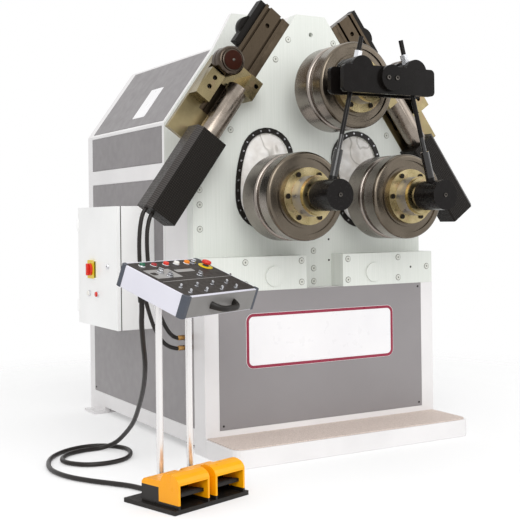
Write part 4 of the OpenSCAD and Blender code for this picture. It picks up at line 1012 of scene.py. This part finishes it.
def selector(name, body, u, v, turnBy):
    piece = Piece(name, body, "chrome", steel.zinc)
    place = deskAt(u, v) @ turnedBy(turnBy, "Z")
    for profile in (selectorSpec["ring"], selectorSpec["knob"]):
        piece.lathe(profile, place)
    piece.box(*selectorSpec["grip"], place, 0, selectorSpec["edge"])
    return piece.done()


lamp("redButton", -0.22, plastic.deepRed, slot="red_plastic")
lamp("redLamp", -0.065, plastic.red, h=0.016, slot="red_plastic")
lamp("whiteLamp", 0.075, plastic.white, h=0.015)
lamp("orangeLamp", 0.215, plastic.orange, h=0.016)
selector("keySelector", "machine", 0.3, 0.345, 35)
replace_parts(selector("modeSelector", "selector_lever", -0.26, 0.045, -30), "selector_lever")
selector("speedSelector", "machine", -0.285, 0.165, 20)
selector("lightSelector", "machine", 0.097, 0.0, -15)
leverShape = turnedShape(
    20, [(0.0088, 0.0008), (0.0088, 0.003), (0.007, 0.0042), (0.0056, 0.0042)],
    [(0.0056, 0.003), (0.0056, 0.0135), (0.005, 0.016), (0.0034, 0.0172), (0.0005, 0.0176)],
)
leverSpots = [deskAt(u, v) for u in (-0.385, -0.178, 0.03, 0.228) for v in (-0.265, -0.41)]
repeat("deskLevers", "machine", steel.zinc, leverSpots, leverShape)

# Push button and emergency stop, each with a fixed collar that its stroke stays inside
pressSpec = {
    "button": (-0.36, 0.36), "stop": (0.39, 0.24),
    "bezel": [(0.0147, 0.001), (0.0147, 0.004), (0.0132, 0.0068), (0.0119, 0.0068), (0.0119, 0.0014)],
    "cap": [(0.0115, 0.0067), (0.0115, 0.012), (0.01, 0.0142), (0.0058, 0.015), (0.0004, 0.0152)],
    "stem": [(0.0105, 0.0068), (0.0105, 0.014)],
    "mushroom": [
        (0.011, 0.0125), (0.0175, 0.0135), (0.0198, 0.0165), (0.02, 0.02), (0.018, 0.024),
        (0.011, 0.0265), (0.0005, 0.027),
    ],
    "disc": [(0.03, 0.0008), (0.03, 0.0028), (0.027, 0.0036), (0.0125, 0.0036), (0.0125, 0.001)],
    "collar": [(0.0124, 0.0012), (0.0124, 0.007), (0.0112, 0.007), (0.0112, 0.0014)],
}
place = deskAt(*pressSpec["button"])
turnedPiece("buttonBezel", "machine", "chrome", place, (steel.chrome, pressSpec["bezel"]))
button = turnedPiece("greenButton", "push_button", "green_plastic", place, (plastic.green, pressSpec["cap"]))
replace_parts(button, "push_button")
place = deskAt(*pressSpec["stop"])
stop = turnedPiece(
    "stopMushroom", "emergency_stop", "red_plastic", place,
    (plastic.trim, pressSpec["stem"]), (plastic.red, pressSpec["mushroom"], 40),
)
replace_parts(stop, "emergency_stop")
turnedPiece(
    "stopCollar", "machine", "dark_trim", place,
    (plastic.yellow, pressSpec["disc"], 40), (plastic.trim, pressSpec["collar"]),
)
print("desk dressed")

# Side guides: roller with its red cap, and the bolts in the carriage
guideSpec = {
    "axle": (-0.176, -0.642, 0.5), "capAt": 0.0852,
    "ring": [
        (0.0205, 0.0), (0.0598, 0.0), (0.065, 0.004), (0.065, 0.02856), (0.062075, 0.03192), (0.062075, 0.03696),
        (0.065, 0.04032), (0.065, 0.06888), (0.06175, 0.0756), (0.0559, 0.07896), (0.0533, 0.07896),
        (0.052, 0.0756), (0.0494, 0.0756), (0.0481, 0.08148), (0.0403, 0.084), (0.0205, 0.084),
    ],
    "cap": [(0.043, 0.0), (0.043, 0.004), (0.041, 0.0055), (0.006, 0.0062)],
    "screw": [(0.0065, 0.004), (0.0065, 0.008), (0.005, 0.009), (0.0005, 0.009)],
    "bolts": ((-0.1875, -0.6665, 0.3488), (-0.1875, -0.6665, 0.3964), (-0.0148, -0.687, 0.4807)),
    "bolt": [(0.0035, 0.0015), (0.0035, 0.0075), (0.0068, 0.0085), (0.0078, 0.007), (0.0078, 0.0005)],
}
guideLeft = moved(-slantSpec["foot"][0], 0, slantSpec["foot"][1]) @ Matrix.Rotation(slant, 4, "Y")
for side, base in (("left", guideLeft), ("right", mirrorX @ guideLeft)):
    axle = base @ frontAt(*guideSpec["axle"])
    ring = turnedPiece(side + "GuideRing", side + "_guide", "rail_steel", axle, (steel.ring, guideSpec["ring"], 64))
    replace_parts(ring, side + "_guide_roller")
    turnedPiece(
        side + "GuideCap", side + "_carriage", "gold_zinc", axle @ moved(0, 0, guideSpec["capAt"]),
        (plastic.capRed, guideSpec["cap"], 48), (steel.dark, guideSpec["screw"], 20),
    )
    bolts = Piece(side + "CarriageBolts", side + "_carriage", "black_steel", paint.black)
    for spot in guideSpec["bolts"]:
        bolts.lathe(guideSpec["bolt"], base @ frontAt(*spot), steps=24)
    bolts.done()
print("guides dressed")

# Brass fittings where the hoses meet the side panel
fittingSpec = {
    "base": (0.0145, 0.0, 0.012), "nut": (0.0135, 0.02, 0.032), "turn": 0.3, "edge": 0.0006,
    "sleeve": [(0.0105, 0.011), (0.0105, 0.034), (0.0112, 0.037), (0.0112, 0.062), (0.0095, 0.066)],
}
fittings = Piece("hoseFittings", "machine", "gold_zinc", brassFit)
for name in ("upperHose", "lowerHose"):
    x, y, z = metres(cordSpec[name]["route"][-1])
    place = leftAt(-bodySpec["half"], y, z)
    fittings.nut(*fittingSpec["base"], place)
    fittings.lathe(fittingSpec["sleeve"], place, steps=24)
    fittings.nut(*fittingSpec["nut"], place, start=fittingSpec["turn"])
fittings.done(bevel=fittingSpec["edge"])

# Cabinet door: yellow plate and red handle; lock and buttons at shares of its width and height; seal
doorSpec = {
    "x": -0.822, "y": (-0.186, 0.346), "z": (0.516, 1.103), "switch": (-0.832, 0.14118, 0.79483),
    "lock": (0.22, 0.51), "sealX": (-0.8045, -0.8005), "sealProud": 0.0006, "sealIn": -0.004,
    "buttons": {"startButton": (0.695, plastic.white), "resetButton": (0.483, plastic.red)}, "buttonRow": 0.27,
    "buttonRing": [(0.016, 0.0002), (0.016, 0.005), (0.0142, 0.007), (0.0126, 0.007)],
    "buttonCap": [(0.0124, 0.003), (0.0124, 0.0125), (0.0105, 0.0142), (0.0005, 0.0146)],
    "plate": (0.045, 0.045, 0.004), "plateZ": (-0.0095, 0.0008), "plateEdge": 0.0004,
    "knob": [(0.03, 0.0012), (0.03, 0.007), (0.027, 0.0105), (0.0005, 0.0112)],
    "grip": ((-0.0295, -0.0075, 0.009), (0.0295, 0.0075, 0.0248)), "gripEdge": 0.003,
    "lockRing": [(0.0135, 0.0002), (0.0135, 0.005), (0.0122, 0.0072), (0.006, 0.0076)],
    "lockPin": ((-0.004, -0.004, 0.006), (0.004, 0.004, 0.0085)), "pinEdge": 0.0006,
}
(doorY0, doorY1), (doorZ0, doorZ1) = doorSpec["y"], doorSpec["z"]


def doorAt(u, v):
    return leftAt(doorSpec["x"], doorY0 + (doorY1 - doorY0) * u, doorZ0 + (doorZ1 - doorZ0) * v)


def doorOutline(grow):
    (y0, y1), (z0, z1) = ((low - grow, high + grow) for low, high in (doorSpec["y"], doorSpec["z"]))
    return [(y0, z0), (y1, z0), (y1, z1), (y0, z1)]


place = leftAt(*doorSpec["switch"])
plate = Piece("switchPlate", "cabinet_door", "cabinet_white", plastic.yellow)
plate.prism(roundRect(*doorSpec["plate"]), *doorSpec["plateZ"], place)
plate.done(bevel=doorSpec["plateEdge"])
handle = Piece("switchHandle", "main_switch", "red_plastic", plastic.red)
handle.lathe(doorSpec["knob"], place, steps=40)
handle.box(*doorSpec["grip"], place, 0, doorSpec["gripEdge"])
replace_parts(handle.done(), "main_switch")
place = doorAt(*doorSpec["lock"])
lock = Piece("doorLock", "cabinet_door", "chrome", steel.chrome, plastic.black)
lock.lathe(doorSpec["lockRing"], place)
lock.box(*doorSpec["lockPin"], place, 1, doorSpec["pinEdge"])
lock.done()
seal = Piece("doorSeal", "cabinet_door", "dark_trim", plastic.rubber)
alongX = Matrix(((0, 0, 1, 0), (1, 0, 0, 0), (0, 1, 0, 0), (0, 0, 0, 1)))
seal.ring(doorOutline(doorSpec["sealProud"]), doorOutline(doorSpec["sealIn"]), *doorSpec["sealX"], alongX)
seal.done()
for name, (share, look) in doorSpec["buttons"].items():
    turnedPiece(
        name, "cabinet_door", "cabinet_white", doorAt(share, doorSpec["buttonRow"]),
        (steel.chrome, doorSpec["buttonRing"]), (look, doorSpec["buttonCap"]),
    )
print("cabinet dressed")

# Socket screws in the yoke and the hubs of the tie rods
yokeSpec = {
    "x": 0.022, "y": -1.2435, "hubY": -1.245,
    "screw": [(0.0045, -0.002), (0.0045, 0.004), (0.0095, 0.005), (0.0105, 0.003), (0.0105, -0.0024)],
    "hub": [(0.0045, -0.002), (0.0045, 0.003), (0.0085, 0.0042), (0.0095, 0.0025), (0.0095, -0.0024)],
}
caps = Piece("yokeScrews", "machine", "black_steel", steel.dark)
for side, sign in sides:
    place = frontAt(sign * yokeSpec["x"], yokeSpec["y"], rollCentres["top"][1])
    caps.lathe(yokeSpec["screw"], place, steps=24)
caps.done()
for side, sign in sides:
    x, z = rollCentres[side]
    place = frontAt(x, yokeSpec["hubY"], z)
    turnedPiece(side + "HubScrew", side + "_tie", "black_steel", place, (steel.dark, yokeSpec["hub"], 24))

# Foot switch: bowed yellow hoods over a black case that shows low down and at the back, and ribs on the pedals
hoodSpec = {
    "place": (-0.975, -1.24, 0.016), "turn": 17, "apart": 0.09065, "front": -0.139,
    "half": 0.0755, "wall": 0.009, "depth": 0.2, "edge": 0.0015,
    "profile": [
        (0.0, 0.0), (0.0, 0.092), (0.007, 0.104), (0.02, 0.113), (0.038, 0.119), (0.058, 0.12), (0.076, 0.115),
        (0.088, 0.106), (0.094, 0.094), (0.096, 0.088), (0.188, 0.084), (0.2, 0.072), (0.2, 0.0),
    ],
    "step": -0.033, "case": 0.08, "sill": 0.03,
    "hinge": (0.001, 0.0238), "tilt": -6, "ribs": [0.012 * k - 0.115 for k in range(7)], "board": 0.012,
    "rib": ((-0.058, -0.0028, 0), (0.058, 0.0028, 0.0032)), "ribEdge": 0.0012,
}
hoodFrame = moved(*hoodSpec["place"]) @ turnedBy(hoodSpec["turn"], "Z")


def casePart(look):
    x, y, z = look.axes()
    a = math.radians(hoodSpec["turn"])
    back = (y - hoodSpec["place"][1]) * math.cos(a) - (x - hoodSpec["place"][0]) * math.sin(a)
    case = back.over(hoodSpec["step"]) * z.under(hoodSpec["case"])
    return case.math("MAXIMUM", z.under(hoodSpec["sill"]))


hoodYellow = paintLook(
    "hoodYellow", "fdae00", "f59e00", rough=0.3, coat=0.05, level=0.3, mask=casePart, other="1c1815",
)
hoods = Piece("pedalHoods", "machine", "pedal_yellow", hoodYellow)
outer, thick, half = hoodSpec["profile"], hoodSpec["wall"], hoodSpec["half"]
inner = [(y * (1 - thick / hoodSpec["depth"]), max(z - thick, 0.0)) for y, z in outer]
n, last = len(outer), len(outer) - 1
walls = ((-half, outer), (half, outer), (thick - half, inner), (half - thick, inner))
points = [(x, y, z) for x, profile in walls for y, z in profile]
faces = [tuple(range(k * n, (k + 1) * n)) for k in range(4)]
for a, b in ((0, n), (2 * n, 3 * n)):
    faces += [(a + k, a + k + 1, b + k + 1, b + k) for k in range(1, last)]
for a, b in ((0, 2 * n), (n, 3 * n)):
    faces += [(a, b, b + 1, a + 1), (a, b, b + last, a + last)]
faces += [(k, 2 * n + k, 3 * n + k, n + k) for k in (1, last)]
for side, sign in sides:
    hoods.add(points, faces, hoodFrame @ moved(sign * hoodSpec["apart"], hoodSpec["front"], 0))
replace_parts(hoods.done(bevel=hoodSpec["edge"]), "pedal_guards")
rib = Piece("shape", None, None)
rib.box(*hoodSpec["rib"], bevel=hoodSpec["ribEdge"])
ribShape = rib.data()
for side, sign in sides:
    hinge = hoodFrame @ moved(sign * hoodSpec["apart"], *hoodSpec["hinge"])
    board = hinge @ turnedBy(hoodSpec["tilt"], "X")
    ribSpots = [board @ moved(0, y, hoodSpec["board"]) for y in hoodSpec["ribs"]]
    repeat(side + "PedalRibs", side + "_pedal", plastic.black, ribSpots, ribShape)
print("foot switch dressed")

# Studio: pale floor that fades into an even sky, large soft lights
floorSpec = {"size": 40, "z": -0.0005, "tones": ((0.98, 0.98, 0.98, 1), (0.965, 0.965, 0.965, 1))}
floorLook = Look("floorPale", 0.8)
floorLook.tint(floorLook.noise(0.6, 2.0), *floorSpec["tones"])
x, y, z = floorLook.axes()
floorLook.feed("Alpha", (x * x + y * y).math("SQRT").spread(1.75, 3.0, 0.62, 0.0))
data = bpy.data.meshes.new("floor")
size = floorSpec["size"]
data.from_pydata([(-size, -size, 0), (size, -size, 0), (size, size, 0), (-size, size, 0)], [], [(0, 1, 2, 3)])
data.materials.append(floorLook.material)
floor = addObject("floor", data)
floor.location.z = floorSpec["z"]
worldSpec = {"light": 0.77, "seen": 1.0}
world = bpy.data.worlds.new("sky")
world.use_nodes = True
sky = Tree(world.node_tree)
ray = sky.node("ShaderNodeLightPath", out="Is Camera Ray")
seen = ray.math("MAXIMUM", ray.out("Is Glossy Ray")).math("MAXIMUM", ray.out("Is Transmission Ray"))
background = world.node_tree.nodes["Background"]
sky.put(background.inputs["Color"], (1, 1, 1, 1))
sky.put(background.inputs["Strength"], seen.spread(0.0, 1.0, worldSpec["light"], worldSpec["seen"]))
scene.world = world
lightSpec = {
    "target": (0, -0.3, 1.0),
    "lamps": {
        "key": ((-2.3, -5.2, 4.0), 4.0, 175),
        "fill": ((4.0, -4.0, 3.2), 3.0, 35),
        "top": ((0.0, 0.5, 5.5), 4.0, 42),
    },
}
for name, (place, size, power) in lightSpec["lamps"].items():
    light = addObject(name, assign(bpy.data.lights.new(name, "AREA"), size=size, energy=power))
    light.matrix_world = aimed(place, Vector(lightSpec["target"]) - Vector(place))
print("studio lit")

bpy.context.view_layer.update()
